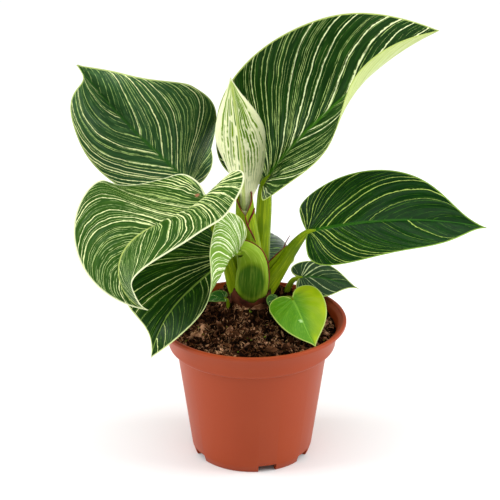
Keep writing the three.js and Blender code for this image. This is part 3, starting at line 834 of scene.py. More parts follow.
@dataclass(frozen=True)
class Half:
    """One half of a blade: its flat outline, and how it bends away from the midrib."""

    width: float
    lobe: float
    widest: float
    shoulder: float
    tip: float
    fold: tuple[float, ...]
    curl: tuple[float, ...]
    neck: float = 0.0

    def margin(self, length: float, count: int) -> np.ndarray:
        """The outline from the leaf's base, round the basal lobe, to its tip.

        Cubic Bezier curves follow one another and are then read at equal arc lengths. Their
        corners lie at shares of the width, the lobe and the widest place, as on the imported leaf.

        Args:
            length: the midrib's length.
            count: how many points to give.

        Returns:
            The points, x along the midrib and y away from it.
        """
        w, lobe, wide, n = self.width, self.lobe, self.widest * length, self.neck
        t = np.linspace(0, 1, 120)
        if self.neck:
            parts = [np.outer(t, (0.0, n)), cubic(((0, n), (0.45 * wide, n), (0.5 * wide, w), (wide, w)), t)]
        else:
            turn = (0.35 * wide - 0.325 * lobe, w)
            parts = [
                cubic(((0, 0), (-0.25 * lobe, 0.12 * w), (-lobe, 0.15 * w), (-lobe, 0.5 * w)), t),
                cubic(((-lobe, 0.5 * w), (-lobe, 0.85 * w), turn, (wide, w)), t),
            ]
        far = (wide + self.shoulder * (length - wide), w)
        parts.append(cubic(((wide, w), far, (length * (1 - self.tip), 0.035 * length), (length, 0)), t))
        line = np.concatenate(parts)
        run = np.concatenate([[0], np.cumsum(np.linalg.norm(np.diff(line, axis=0), axis=1))])
        return read_line(line, run, np.linspace(0, run[-1], count))


@dataclass(frozen=True)
class Veins:
    """How one half's side veins run from the midrib to the margin."""

    lag: float = 6.0
    leave: float = 30.0
    lean: float = 0.6

    def curve(self, length: float, margin: np.ndarray, u: np.ndarray, v: np.ndarray) -> np.ndarray:
        """Cubic Bezier curves, of which those of the basal lobe are straight.

        Each starts on the midrib at length times u to the power of lag, leaves at the leaving
        angle, and meets the margin in a direction between its chord's and the margin's own.

        Args:
            length: the midrib's length.
            margin: the half's flat outline.
            u: a column of places along the outline, 0 to 1.
            v: a row of places along each vein, 0 to 1.

        Returns:
            Points of the flat half, x along the midrib and y away from it.
        """
        marks = np.linspace(0, 1, len(margin))
        end, tangent = (read_line(line, marks, u) for line in (margin, unit(np.gradient(margin, axis=0))))
        start = np.concatenate([length * u**self.lag, 0 * u], axis=-1)[:, None]
        gap = end - start
        chord = np.linalg.norm(gap, axis=-1, keepdims=True)
        ahead = np.clip(gap[..., :1] / (0.25 * length), 0, 1)
        straight = np.arctan2(gap[..., 1:], gap[..., :1])
        angle = straight + (math.radians(self.leave) - straight) * ahead
        first = start + 0.2 * chord * np.concatenate([np.cos(angle), np.sin(angle)], axis=-1)
        lean = self.lean * ahead
        second = end - 0.4 * chord * unit((1 - lean) * unit(gap) + lean * tangent)
        v = v[..., None]
        flat = (1 - v) ** 3 * start + 3 * (1 - v) ** 2 * v * first + 3 * (1 - v) * v * v * second + v**3 * end
        return np.maximum(flat, [-np.inf, 0])


@dataclass(frozen=True)
class Midrib:
    """A midrib as a space curve, with the blade's axes on it."""

    length: float
    base: Place
    pitch: tuple[float, ...]
    heading: tuple[float, ...]
    roll: tuple[float, ...]
    steps: int = 400

    def axes(self, x: np.ndarray) -> tuple[np.ndarray, np.ndarray, np.ndarray]:
        """The blade's axes: pitch and heading turn the direction, and roll turns the other two.

        Args:
            x: distances along the midrib.

        Returns:
            Directions along the midrib, to its right and up from the blade.
        """
        t = x / self.length
        pitch, heading, roll = (np.radians(through(v, t)) for v in (self.pitch, self.heading, self.roll))
        along = np.stack([np.cos(pitch) * np.cos(heading), np.cos(pitch) * np.sin(heading),
                          np.sin(pitch)], axis=-1)
        level = np.stack([np.sin(heading), -np.cos(heading), np.zeros_like(heading)], axis=-1)
        upright = np.cross(level, along)
        c, s = np.cos(roll)[..., None], np.sin(roll)[..., None]
        return along, level * c + upright * s, upright * c - level * s

    def points(self, x: np.ndarray, start: float) -> np.ndarray:
        """The midrib's points: the running sum of its direction, moved so that 0 is at the base.

        Args:
            x: distances along the midrib.
            start: the distance at which the sum starts, below zero under the lobes.

        Returns:
            One point for each distance.
        """
        marks = np.linspace(start, self.length, self.steps)
        along = self.axes(marks)[0]
        moves = (along[1:] + along[:-1]) / 2 * np.diff(marks)[:, None]
        line = np.vstack([np.zeros(3), np.cumsum(moves, axis=0)])
        return read_line(line, marks, x) + (np.array(self.base) - read_line(line, marks, 0.0))


@dataclass(frozen=True)
class Leaf:
    """A leaf: a bent blade and the stalk it stands on.

    The fields from rib_width on are fine detail: the midrib's band and its narrow end, the
    blade's thickness and how it thins near the edge, the rim's bulge, the keel under the midrib,
    the groove above it, the ripples between the veins, how far the upper face lies inside the
    packed one, and where the stalk ends under the midrib.
    """

    node: str
    rib: Midrib
    left: Half
    right: Half
    stalk: Stations
    skin: Skin
    stalk_skin: StalkFinish = GREEN_STALK
    join: tuple[float, float] = (2.0, 1.2)
    rows: int = 210
    columns: int = 38
    veins: tuple[Veins, Veins] = (Veins(), Veins())
    tip_packing: float = 1.8
    rib_width: float = 2.6
    rib_end: tuple[float, float] = (0.8, 0.3)
    thickness: float = 0.55
    edge_share: float = 0.6
    edge_reach: float = 3.0
    bulge: float = 0.2
    keel: float = 1.6
    keel_width: float = 2.4
    groove: float = 0.45
    groove_width: float = 1.3
    ripple: float = 0.18
    ripple_slant: float = 1.7
    sink: float = 0.25
    stalk_end: tuple[float, float, float] = (0.05, 1.1, 0.9)
    hollow: tuple[float, ...] = ()
    extras: tuple["Extra", ...] = ()

    def surface(self, side: int) -> dict[str, np.ndarray]:
        """The upper face of one half, as a grid of vein number by place along the vein.

        The veins are the curves of Veins. Across the blade the face is an arc that leaves the
        midrib at the fold angle and turns by curl over the width. A bell-shaped groove follows
        the midrib, and a cosine of the vein number, strongest in mid-vein, makes the ripples.
        The field spread is the distance between veins that are one whole margin apart: the area
        that a step of each kind spans, over the length of the step along the stripe.

        Args:
            side: -1 for the left half and 1 for the right.

        Returns:
            Points, normals, distances y and shares t of the midrib, and the point fields, by name.
        """
        half, length = (self.left, self.right)[side > 0], self.rib.length
        u = 1 - (1 - np.linspace(0, 1, self.rows)[:, None]) ** self.tip_packing
        v = np.linspace(0, 1, self.columns)[None, :]
        outline = half.margin(length, 1600)
        flat = self.veins[side > 0].curve(length, outline, u, v)
        x, y = flat[..., 0], flat[..., 1]
        t = x / length
        fold = np.radians(through(half.fold, t))
        turn = np.radians(through(half.curl, t)) / half.width
        turn = np.where(np.abs(turn) < TINY, TINY, turn)
        angle = fold + turn * y
        out = (np.sin(angle) - np.sin(fold)) / turn
        rise = (np.cos(fold) - np.cos(angle)) / turn
        _, right, up = self.rib.axes(x)
        centre = self.rib.points(x, -1.05 * max(self.left.lobe, self.right.lobe, 1))
        point = centre + (side * out)[..., None] * right + rise[..., None] * up
        middle = np.radians(through(self.left.fold, t) - through(self.right.fold, t)) / 2
        tilt = np.where(y > 0, -side * angle, middle)
        normal = np.cos(tilt)[..., None] * up + np.sin(tilt)[..., None] * right
        cells = 2 * np.pi * self.skin.value.stripes * u
        groove = -self.groove * np.exp(-((y / self.groove_width) ** 2)) * (1 - 0.7 * np.clip(t, 0, 1))
        wave = self.ripple * np.sin(np.pi * v) ** 0.7 * np.cos(cells + self.ripple_slant * v)
        point = point + (groove + wave)[..., None] * normal
        one_way, other_way = np.gradient(flat, u[:, 0], axis=0), np.gradient(flat, v[0], axis=1)
        area = np.abs(one_way[..., 0] * other_way[..., 1] - one_way[..., 1] * other_way[..., 0])
        stripe = one_way if self.skin.value.lengthwise else other_way
        spread = area / np.maximum(np.linalg.norm(stripe, axis=-1), TINY)
        edge = np.min(np.linalg.norm(flat[..., None, :] - outline[::6], axis=-1), axis=-1)
        narrowing = self.rib_width * np.clip(1 - t / self.rib_end[0], 0, 1) + self.rib_end[1]
        return {"point": point, "normal": normal, "y": y, "t": np.clip(t, 0, 1),
                "along": np.broadcast_to(u, x.shape), "across": np.broadcast_to(side * v, x.shape),
                "rib": y / narrowing, "edge": edge, "foot": np.hypot(x, y) / length,
                "spread": np.maximum(spread, 0.05)}

    def add_blade(self, draft: Draft) -> None:
        """Adds the blade: two halves as one upper grid, a lower grid below it and a round rim.

        Both faces are the surface moved along its normals, the lower one by the thickness and a
        bell-shaped keel more.

        Args:
            draft: the piece to add it to.
        """
        left, right = self.surface(-1), self.surface(1)
        whole = {name: np.concatenate([left[name][:, :0:-1], right[name]], axis=1) for name in left}
        fields = {name: whole[name] for name in Draft.FIELDS if name in whole}
        keel = self.keel * (1 - whole["t"]) * np.exp(-((whole["y"] / self.keel_width) ** 2))
        inward = np.clip(whole["edge"] / self.edge_reach, 0, 1)
        thin = self.thickness * (self.edge_share + (1 - self.edge_share) * inward)
        upper = whole["point"] - self.sink * whole["normal"]
        for column, inner in ((0, 1), (-1, -2)):
            upper[:, column] -= self.sink * unit(upper[:, column] - upper[:, inner])
        lower = upper - (thin + keel)[..., None] * whole["normal"]
        draft.sheet(upper, BLADE, under=0.0, **fields)
        draft.sheet(lower, BLADE, under=1.0, **fields)
        for column, inner in ((0, 1), (-1, -2)):
            outward = unit(upper[:, column] - upper[:, inner])
            middle = (upper[:, column] + lower[:, column]) / 2 + self.bulge * outward
            rim = np.stack([upper[:, column], middle, lower[:, column]], axis=1)
            marks = {name: np.repeat(fields[name][:, column, None], 3, axis=1) for name in fields}
            draft.sheet(rim, BLADE, under=np.array([0, 0.5, 1.0]), **marks)

    def stations(self) -> Stations:
        """The stalk's stations, led on under the midrib.

        Returns:
            The stations, with one under the blade's base and one a little further along.
        """
        radius, depth = self.join
        share, end_depth, end_radius = self.stalk_end
        narrow = min(radius, 0.8 * self.stalk[-1][3])
        ends = []
        for x, below, size in ((0.0, depth, narrow), (share * self.rib.length, end_depth, end_radius)):
            at = np.array([x])
            _, right, up = (axis[0] for axis in self.rib.axes(at))
            folds = [through(half.fold, at / self.rib.length)[0] for half in (self.left, self.right)]
            tilt = math.radians((folds[0] - folds[1]) / 2)
            point = self.rib.points(at, -1.0)[0] - below * (math.cos(tilt) * up + math.sin(tilt) * right)
            ends.append((*point, size, size))
        return (*self.stalk, *ends)

    def build(self) -> bpy.types.Object:
        """Makes the leaf.

        Returns:
            The leaf as one piece, with its blade, its stalk and what the stalk carries.
        """
        draft = Draft()
        self.add_blade(draft)
        stalk = Stalk(self.stations(), hollow=self.hollow)
        stalk.add(draft, STALK)
        for extra in self.extras:
            extra.add(draft, stalk)
        return draft.build(self.node + "_dressed", (self.skin.value, self.stalk_skin, MAROON), (self.node,))


# ---------------------------------------------------------------- stalks and sheaths


@dataclass(frozen=True)
class Stalk:
    """A stalk along stations of x, y, z, half width and half depth.

    Its hollow, where it has one, is an oval in front: x, z, half width, half height and depth.
    """

    stations: Stations
    steps: int = 60
    sides: int = 36
    ridges: float = 0.02
    hollow: tuple[float, ...] = ()

    def sunk(self, points: np.ndarray, turn: np.ndarray) -> np.ndarray:
        """How far inside the front's oval hollow points lie: 1 at its middle, 0 from its rim on.

        Args:
            points: the points.
            turn: their angles round the section, in radians.

        Returns:
            One share for each point.
        """
        if not self.hollow:
            return np.zeros(points.shape[:-1])
        x, z, half_width, half_height, _ = self.hollow
        away = ((points[..., 0] - x) / half_width) ** 2 + ((points[..., 2] - z) / half_height) ** 2
        return np.where(np.sin(turn) < 0, np.clip(1 - away, 0, 1), 0.0)

    def path(self, t: np.ndarray) -> tuple[np.ndarray, np.ndarray, np.ndarray, np.ndarray]:
        """The stations' line: its direction is the difference of points just after and before.

        Args:
            t: shares of the stations.

        Returns:
            Centres, sideways and backward axes, and half sizes.
        """
        table = np.array(self.stations, float)
        centre, after, before = (smooth_path(table[:, :3], t + step) for step in (0, 1e-3, -1e-3))
        along = unit(after - before)
        back = np.array([0.0, 1.0, 0.0])
        depth = unit(back - (along @ back)[:, None] * along)
        sizes = np.stack([through(table[:, k], t) for k in (3, 4)], axis=-1)
        return centre, np.cross(depth, along), depth, sizes

    def skin_point(self, t: np.ndarray, angle: np.ndarray, proud: float = 0.0) -> np.ndarray:
        """Points on the skin: an ellipse round each centre, angle 0 to the right, 90 to the back.

        Nine faint ridges run along it, a cosine of nine times the angle.

        Args:
            t: share of the stations.
            angle: degrees round the section.
            proud: distance above the skin.

        Returns:
            The points, in the shape of t.
        """
        shape = np.broadcast(t, angle).shape
        t, angle = (np.broadcast_to(a, shape).reshape(-1) for a in (t, angle))
        centre, wide, depth, sizes = self.path(t)
        turn = np.radians(angle)
        swell = 1 + self.ridges * np.cos(9 * turn + 0.6)
        point = (centre + (np.cos(turn) * (sizes[:, 0] * swell + proud))[:, None] * wide
                 + (np.sin(turn) * (sizes[:, 1] * swell + proud))[:, None] * depth)
        if self.hollow:
            point[:, 1] += self.hollow[4] * self.sunk(point, turn) ** 0.7
        return point.reshape(*shape, 3)

    def add(self, draft: Draft, finish: int) -> None:
        """Adds the stalk as a closed tube.

        Args:
            draft: the piece to add it to.
            finish: the finish's number.
        """
        angle = np.arange(self.sides)[None, :] * 360 / self.sides
        points = capped(self.skin_point(np.linspace(0, 1, self.steps)[:, None], angle))
        lengths = np.linalg.norm(np.diff(points.mean(axis=1), axis=0), axis=1)
        fields = ring_fields(np.concatenate([[0], np.cumsum(lengths)])[:, None], np.radians(angle))
        turn = np.broadcast_to(np.radians(angle), points.shape[:2])
        # The field tone is how deep in the front hollow a point lies; the stalk finish paints shade there.
        draft.sheet(points, finish, wrap=True, tone=self.sunk(points, turn), **fields)

    def collar(self, top: np.ndarray, angle: np.ndarray, rows: int, inside: float,
               proud: tuple[float, float]) -> np.ndarray:
        """A closed double wall round the stations, whose two faces meet along its top.

        Args:
            top: the share of the stations that it reaches up to, at each angle.
            angle: degrees round the section.
            rows: rings of each face.
            inside: the share at which its inner floor lies.
            proud: how far the outer and the inner face stand off the stations' size.

        Returns:
            A grid of rings, up the outer face and down the inner one.
        """
        share = np.linspace(0, 1, rows)[:, None]
        outer = self.skin_point(share * top, angle, proud[0])
        inner = self.skin_point(inside + share * (top - inside), angle, proud[1])[::-1]
        return capped(np.concatenate([outer, inner]))


def add_bead(draft: Draft, line: np.ndarray, outward: np.ndarray, radius: float) -> None:
    """Adds a dark round tube along a line, its radius the root of a half sine, closed at both ends.

    Args:
        draft: the piece to add it to.
        line: its centres.
        outward: a direction across the line at each centre.
        radius: its greatest radius.
    """
    t = np.clip(np.linspace(0, 1, len(line)), 0.02, 0.98)
    sizes = radius * (0.25 + 0.75 * np.sin(np.pi * t) ** 0.5)
    along = unit(np.gradient(line, axis=0))
    across = unit(np.cross(along, outward))
    draft.sheet(capped(rings(line, across, np.cross(across, along), sizes, 8)), BEAD, wrap=True)


@dataclass(frozen=True)
class Extra:
    """Something on a stalk, of the stalk's own piece."""

    def add(self, draft: Draft, stalk: Stalk) -> None:
        """Adds it to the piece."""
        raise NotImplementedError


@dataclass(frozen=True)
class Line(Extra):
    """Something along a line on a stalk, through places of share, angle and height."""

    places: Stations

    def read(self) -> tuple[np.ndarray, ...]:
        """Shares, angles and heights at forty steps along the line."""
        t = np.linspace(0, 1, 40)
        return tuple(through(column, t) for column in np.array(self.places, float).T)


@dataclass(frozen=True)
class Bead(Line):
    """A thin raised line of dry tissue."""

    radius: float = 0.45

    def add(self, draft: Draft, stalk: Stalk) -> None:
        """Adds the bead, its centres at their heights over the skin.

        Args:
            draft: the piece to add it to.
            stalk: the stalk that carries it.
        """
        share, angle, proud = self.read()
        skin = stalk.skin_point(share, angle)
        outward = unit(stalk.skin_point(share, angle, 1.0) - skin)
        add_bead(draft, skin + proud[:, None] * outward, outward, self.radius)


@dataclass(frozen=True)
class Wing(Line):
    """A thin flap that stands on a stalk, with a dark bead along its free edge."""

    half_thickness: float = 0.3
    root: float = 0.5
    bead: float = 0.42

    def add(self, draft: Draft, stalk: Stalk) -> None:
        """Adds the flap as a flat closed tube from under the skin to its edge, and the bead.

        Args:
            draft: the piece to add it to.
            stalk: the stalk that carries it.
        """
        share, angle, proud = self.read()
        root = stalk.skin_point(share, angle, -self.root)
        outward = unit(stalk.skin_point(share, angle, 1.0) - root)
        edge = root + (self.root + np.maximum(proud, 0))[:, None] * outward
        thick = self.half_thickness * unit(np.cross(np.gradient(edge, axis=0), outward))
        flap = np.stack([root + thick, edge + thick, edge - thick, root - thick], axis=1)
        draft.sheet(capped(flap), STALK, wrap=True, ring_x=1.0)
        add_bead(draft, edge, outward, self.bead)


@dataclass(frozen=True)
class Sheath(Extra):
    """A sheath round the new leaf, a tube whose top is cut to a V in front."""

    stations: Stations = ((-1.5, 19.5, 112, 8.5, 6.5), (-1.5, 19.5, 126, 8, 6.2), (-3.2, 19, 142, 7.2, 5.6),
                          (-4.4, 19.2, 157, 6, 5), (-5, 19.6, 168, 5, 4.6))
    wall: float = 0.6
    floor: float = 0.45
    bead: float = 0.45
    notch: float = 0.3
    notch_angle: float = -90.0
    seams: tuple[Bead, ...] = (
        Bead(((0.71, -90, 0.1), (0.607, -82, 0.1), (0.508, -63, 0.1), (0.416, -49, 0.0)), 0.5),
        Bead(((0.6, -80, 0.1), (0.68, -60, 0.2), (0.75, -30, 0.5), (0.78, -18, 0.8)), 0.6))

    def add(self, draft: Draft, stalk: Stalk) -> None:
        """Adds the sheath's two walls, a dark bead round its cut top, and its seams.

        The top's share of the stations rises evenly from 1 less the notch, at the notch's own
        angle, to 1 at a right angle from it.

        Args:
            draft: the piece to add it to.
            stalk: the stalk beside it.
        """
        around = Stalk(self.stations, ridges=0.012)
        angle = np.arange(72)[None, :] * 5.0
        top = 1 - self.notch * np.clip(1 - apart(angle, self.notch_angle) / 90, 0, 1)
        walls = around.collar(top, angle, 40, self.floor, (0.0, -self.wall))
        run = np.linspace(0, 90, len(walls))[:, None]
        draft.sheet(walls, STALK, wrap=True, **ring_fields(run, np.radians(angle)))
        edge = around.skin_point(top[0], angle[0], -self.wall / 2)
        outward = unit(edge - edge.mean(axis=0))
        along = unit(np.roll(edge, -1, axis=0) - np.roll(edge, 1, axis=0))
        band = rings(edge, outward, np.cross(along, outward), self.bead, 8)
        draft.sheet(np.concatenate([band, band[:1]]), BEAD, wrap=True)
        for seam in self.seams:
            seam.add(draft, around)


# ---------------------------------------------------------------- pot


@dataclass(frozen=True)
class Pot:
    """A moulded nursery pot: a banded rim, a tapered body and a notched foot."""

    node: str = "pot"
    height: float = 91.0
    lip_radius: float = 60.0
    lip_inner: float = 57.3
    lip_height: float = 2.6
    band_top: float = 56.0
    band_foot: float = 53.3
    band_height: float = 18.0
    body_top: float = 48.2
    body_foot: float = 38.6
    foot_radius: float = 37.2
    taper: float = 4.5
    wall: float = 1.3
    ring_width: float = 3.0
    floor: float = 3.0
    pad: float = 14.0
    drain_height: float = 4.8
    drain_inner: float = 31.0
    drain_half_angle: float = 8.8
    drain_pairs: int = 3
    drain_first: float = -53.0
    drain_spread: float = 22.0
    jamb: float = 0.03
    facet: float = 1.25

    def drains(self) -> list[float]:
        """The notches' middle angles."""
        step = 360 / self.drain_pairs
        return [self.drain_first + side * self.drain_spread + step * i
                for i in range(self.drain_pairs) for side in (-1, 1)]

    def profile(self) -> tuple[np.ndarray, np.ndarray]:
        """The wall's section, radius and height, from the underside round the lip to the floor.

        Small steps beside each corner round it.

        Returns:
            The points, and for each the height that a drain notch lifts it to.
        """
        step, low = self.height - self.band_height, self.height - self.lip_height
        ring, inner_floor = self.foot_radius - self.ring_width, self.floor + self.wall
        pad, foot, top, lip = self.pad, self.body_foot, self.body_top, self.lip_radius
        outside = [
            (0, 0), (pad - 0.4, 0), (pad, 0.3), (pad + 1, self.floor),
            (self.drain_inner, self.floor), (self.drain_inner + 0.05, self.floor), (ring, self.floor),
            (ring + 0.4, 0.3), (ring + 0.7, 0), (self.foot_radius - 0.3, 0), (self.foot_radius, 0.3),
            (foot - 0.15, self.taper - 0.4), (foot, self.taper), (foot + 0.1, self.taper + 0.5),
            (top - 0.1, step - 0.8), (top + 0.1, step - 0.2), (top + 0.5, step),
            (self.band_foot - 2.4, step), (self.band_foot - 1.3, step + 0.35),
            (self.band_foot - 0.5, step + 1.2), (self.band_foot - 0.1, step + 2.3),
            (self.band_foot + 0.05, step + 3.4), (self.band_top - 0.15, low - 0.6),
            (self.band_top + 0.25, low - 0.15), (self.band_top + 0.8, low), (lip - 0.7, low),
            (lip - 0.2, low + 0.2), (lip, low + 0.7), (lip, self.height - 0.9),
            (lip - 0.25, self.height - 0.3), (lip - 0.8, self.height), (self.lip_inner + 0.6, self.height),
            (self.lip_inner + 0.1, self.height - 0.3), (self.lip_inner - 0.1, self.height - 0.9),
        ]
        inside = [
            (self.band_top - self.wall + 0.5, low + 0.4), (self.band_top - self.wall - 0.05, low - 0.5),
            (self.band_foot - 1.4, step + 2.5), (self.band_foot - 1.9, step + 1.7),
            (self.band_foot - 2.8, step + self.wall), (top - 0.7, step + self.wall),
            (top - self.wall, step + 0.7), (foot - self.wall, inner_floor),
            (self.drain_inner + 0.05, inner_floor), (self.drain_inner, inner_floor), (0, inner_floor),
        ]
        points = np.array(outside + inside, float)
        cut = (points[:, 0] > self.drain_inner + 0.02) & (points[:, 0] < foot + 3)
        lift = np.where(np.arange(len(points)) < len(outside), self.drain_height, self.drain_height + 0.8)
        return points, np.where(cut, lift, 0.0)

    def build(self) -> bpy.types.Object:
        """Turns the section round the axis. In a notch its points are lifted to the notch's top.

        Returns:
            The pot as one piece.
        """
        points, lift = self.profile()
        edges = [middle + side * self.drain_half_angle + jamb for middle in self.drains()
                 for side in (-1, 1) for jamb in (-self.jamb, self.jamb)]
        angle = np.unique(np.mod(np.concatenate([np.arange(0, 360, self.facet), edges]), 360).round(4))
        near = np.min([apart(angle, middle) for middle in self.drains()], axis=0)
        cut = (near < self.drain_half_angle)[:, None]
        z = np.where(cut, np.maximum(points[None, :, 1], lift[None]), points[None, :, 1])
        turn = np.radians(angle)[:, None]
        grid = np.stack([points[None, :, 0] * np.cos(turn), points[None, :, 0] * np.sin(turn), z], axis=-1)
        draft = Draft()
        draft.sheet(np.swapaxes(grid, 0, 1), wrap=True)
        return draft.build("pot_dressed", (POT_SKIN,), (self.node,), crease=38.0)


# ---------------------------------------------------------------- soil


@dataclass(frozen=True)
class Lumps:
    """A kind of loose lump: how many, their radii, the grid, tones and flatness of each."""

    count: int
    sizes: tuple[float, float]
    grid: tuple[int, int]
    tones: tuple[float, float]
    flat: float


@dataclass(frozen=True)
class Soil:
    """Peat heaped round the crown, with crumbs, bark chips, fibres and flecks of moss on it.

    The ring is given by its centre's x and y, its radius, its width and its height, and the
    heap behind the crown by its centre's x and y, its half widths and its height.
    """

    node: str = "soil"
    level: float = 85.0
    mound: float = 11.0
    spread: float = 17.0
    lump: float = 0.8
    crown: tuple[float, float] = (0.0, 21.0)
    rim: float = 53.3
    bottom: tuple[float, float] = (36.9, 4.6)
    ledge: tuple[tuple[float, float], ...] = ((51.0, 75.8), (50.3, 74.7), (46.5, 74.6))
    ring: tuple[float, ...] = (-1.0, 17.0, 14.0, 4.5, 4.2)
    heap: tuple[float, ...] = (2.0, 39.0, 26.0, 8.0, 11.0)
    rough: float = 1.6
    grain: float = 5.0
    inset: float = 1.6
    crumbs: Lumps = Lumps(2600, (0.4, 1.5), (5, 7), (0.0, 1.0), 0.45)
    clods: Lumps = Lumps(130, (1.2, 2.6), (7, 10), (0.1, 0.8), 0.6)
    chips: Lumps = Lumps(70, (1.2, 3.0), (6, 9), (0.5, 1.1), 0.22)
    flecks: Lumps = Lumps(45, (0.4, 1.2), (5, 6), (0.5, 1.0), 0.25)
    chunks: Stations = ((5.8, 5.8, 4.2), (-33.7, -13.8, 4.4), (11.1, -37.1, 3.6), (-16, -28, 2.6))
    fibres: int = 2600
    fibre_grid: tuple[int, int] = (7, 4)
    seed: int = 7

    def height(self, x: np.ndarray, y: np.ndarray) -> np.ndarray:
        """The mean top: a bell-shaped mound and two crossed waves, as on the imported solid.

        Args:
            x: places to the right.
            y: places to the back.

        Returns:
            One height for each place.
        """
        away = (x - self.crown[0]) ** 2 + (y - self.crown[1]) ** 2
        lumps = np.sin(0.41 * x + 1.3) * np.sin(0.37 * y + 0.4) + 0.6 * np.sin(0.23 * x - 0.71 * y)
        return self.level + self.mound * np.exp(-away / (2 * self.spread**2)) + self.lump * lumps

    def rough_height(self, x: np.ndarray, y: np.ndarray) -> np.ndarray:
        """The mean top, a bell-shaped ring round the crown, a heap behind it, and rough noise.

        Args:
            x: places to the right.
            y: places to the back.

        Returns:
            One height for each place.
        """
        place = np.stack([x, y, 0 * x], axis=-1)
        ring_x, ring_y, radius, width, ring_height = self.ring
        ring = ring_height * np.exp(-(((np.hypot(x - ring_x, y - ring_y) - radius) / width) ** 2))
        heap_x, heap_y, wide, deep, heap_height = self.heap
        heap = heap_height * np.exp(-(((x - heap_x) / wide) ** 2) - ((y - heap_y) / deep) ** 2)
        rough = self.rough * rough_noise(place / self.grain, self.seed, 5)
        return self.height(x, y) + ring + heap + rough - self.rough / 2

    def scatter(self, random: np.random.Generator, count: int) -> tuple[np.ndarray, np.ndarray]:
        """Random places on the top, evenly over the disc: the radius is the root of a chance.

        Args:
            random: the source of chance.
            count: how many.

        Returns:
            Their x and their y.
        """
        radius = (self.rim - self.inset) * np.sqrt(random.random(count))
        turn = random.random(count) * 2 * np.pi
        return radius * np.cos(turn), radius * np.sin(turn)

    def body(self) -> Draft:
        """The soil's body: rings from the axis out over the top, down the wall and in below.

        Returns:
            A draft that holds it.
        """
        draft = Draft()
        turn = np.linspace(0, 2 * np.pi, 260, endpoint=False)[None, :]
        radius = np.linspace(0, self.rim, 120)[:, None]
        x, y = radius * np.cos(turn), radius * np.sin(turn)
        top = np.stack([x, y, self.rough_height(x, y)], axis=-1)
        around = np.stack([np.cos(turn), np.sin(turn), 0 * turn], axis=-1)[0]
        under = np.array([*self.ledge, self.bottom, (0, self.bottom[1])])
        low = under[:, None, :1] * around[None] + np.stack([0, 0, 1] * under[:, 1:], axis=0)[:, None]
        draft.sheet(np.concatenate([top, low]), wrap=True, tone=0.15)
        return draft

    def ball(self, rows: int, sides: int) -> tuple[np.ndarray, np.ndarray]:
        """A unit ball as a grid of latitude by longitude.

        Args:
            rows: rings from pole to pole.
            sides: points of each ring.

        Returns:
            Its points and its faces.
        """
        lift = np.linspace(-np.pi / 2, np.pi / 2, rows)[:, None]
        turn = np.linspace(0, 2 * np.pi, sides, endpoint=False)[None, :]
        points = [np.cos(lift) * np.cos(turn), np.cos(lift) * np.sin(turn), np.sin(lift) + 0 * turn]
        return np.stack(points, axis=-1).reshape(-1, 3), grid_faces(rows, sides)

    def add_lumps(self, draft: Draft, random: np.random.Generator, kind: Lumps) -> None:
        """Adds lumps to the top: balls, turned at random, squeezed and made rough by noise.

        Args:
            draft: the piece to add them to.
            random: the source of chance.
            kind: what they are like.
        """
        ball, quads = self.ball(*kind.grid)
        count = kind.count
        x, y = self.scatter(random, count)
        size = kind.sizes[0] + (kind.sizes[1] - kind.sizes[0]) * random.random(count) ** 2.2
        squeeze = size[:, None] * np.array([1.35, 0.8, kind.flat]) * (0.7 + 0.5 * random.random((count, 3)))
        turns = np.linalg.qr(random.normal(size=(count, 3, 3)))[0]
        bumps = 1 + 0.5 * rough_noise(ball[None] * 1.7 + 40 * random.random((count, 1, 3)), self.seed, 2)
        local = np.einsum("nij,nkj->nki", turns, ball[None] * squeeze[:, None] * bumps[..., None])
        z = self.rough_height(x, y) + size * (0.05 + 0.4 * random.random(count))
        limit = np.minimum(1, (self.rim - 0.2 - size * 1.4) / np.maximum(np.hypot(x, y), TINY))
        centre = np.stack([x * limit, y * limit, z], axis=-1)
        tone = kind.tones[0] + (kind.tones[1] - kind.tones[0]) * random.random(count) ** 1.5
        draft.copies(local + centre[:, None], quads, tone=np.repeat(tone[:, None], len(ball), axis=1))

    def add_chunk(self, draft: Draft, random: np.random.Generator, x: float, y: float, size: float) -> None:
        """Adds one large flat clod, a ball whose radius noise tears.

        Args:
            draft: the piece to add it to.
            random: the source of chance.
            x: its place to the right.
            y: its place to the back.
            size: its greatest radius.
        """
        ball, quads = self.ball(26, 36)
        bumps = 1 + 0.42 * rough_noise(ball * 1.5 + 40 * random.random(3), self.seed, 4)
        local = ball * bumps[:, None] * np.array([size, 0.85 * size, 0.42 * size])
        z = float(self.rough_height(np.array(x), np.array(y))) + 0.6
        draft.add(local + np.array([x, y, z]), quads, tone=0.6)

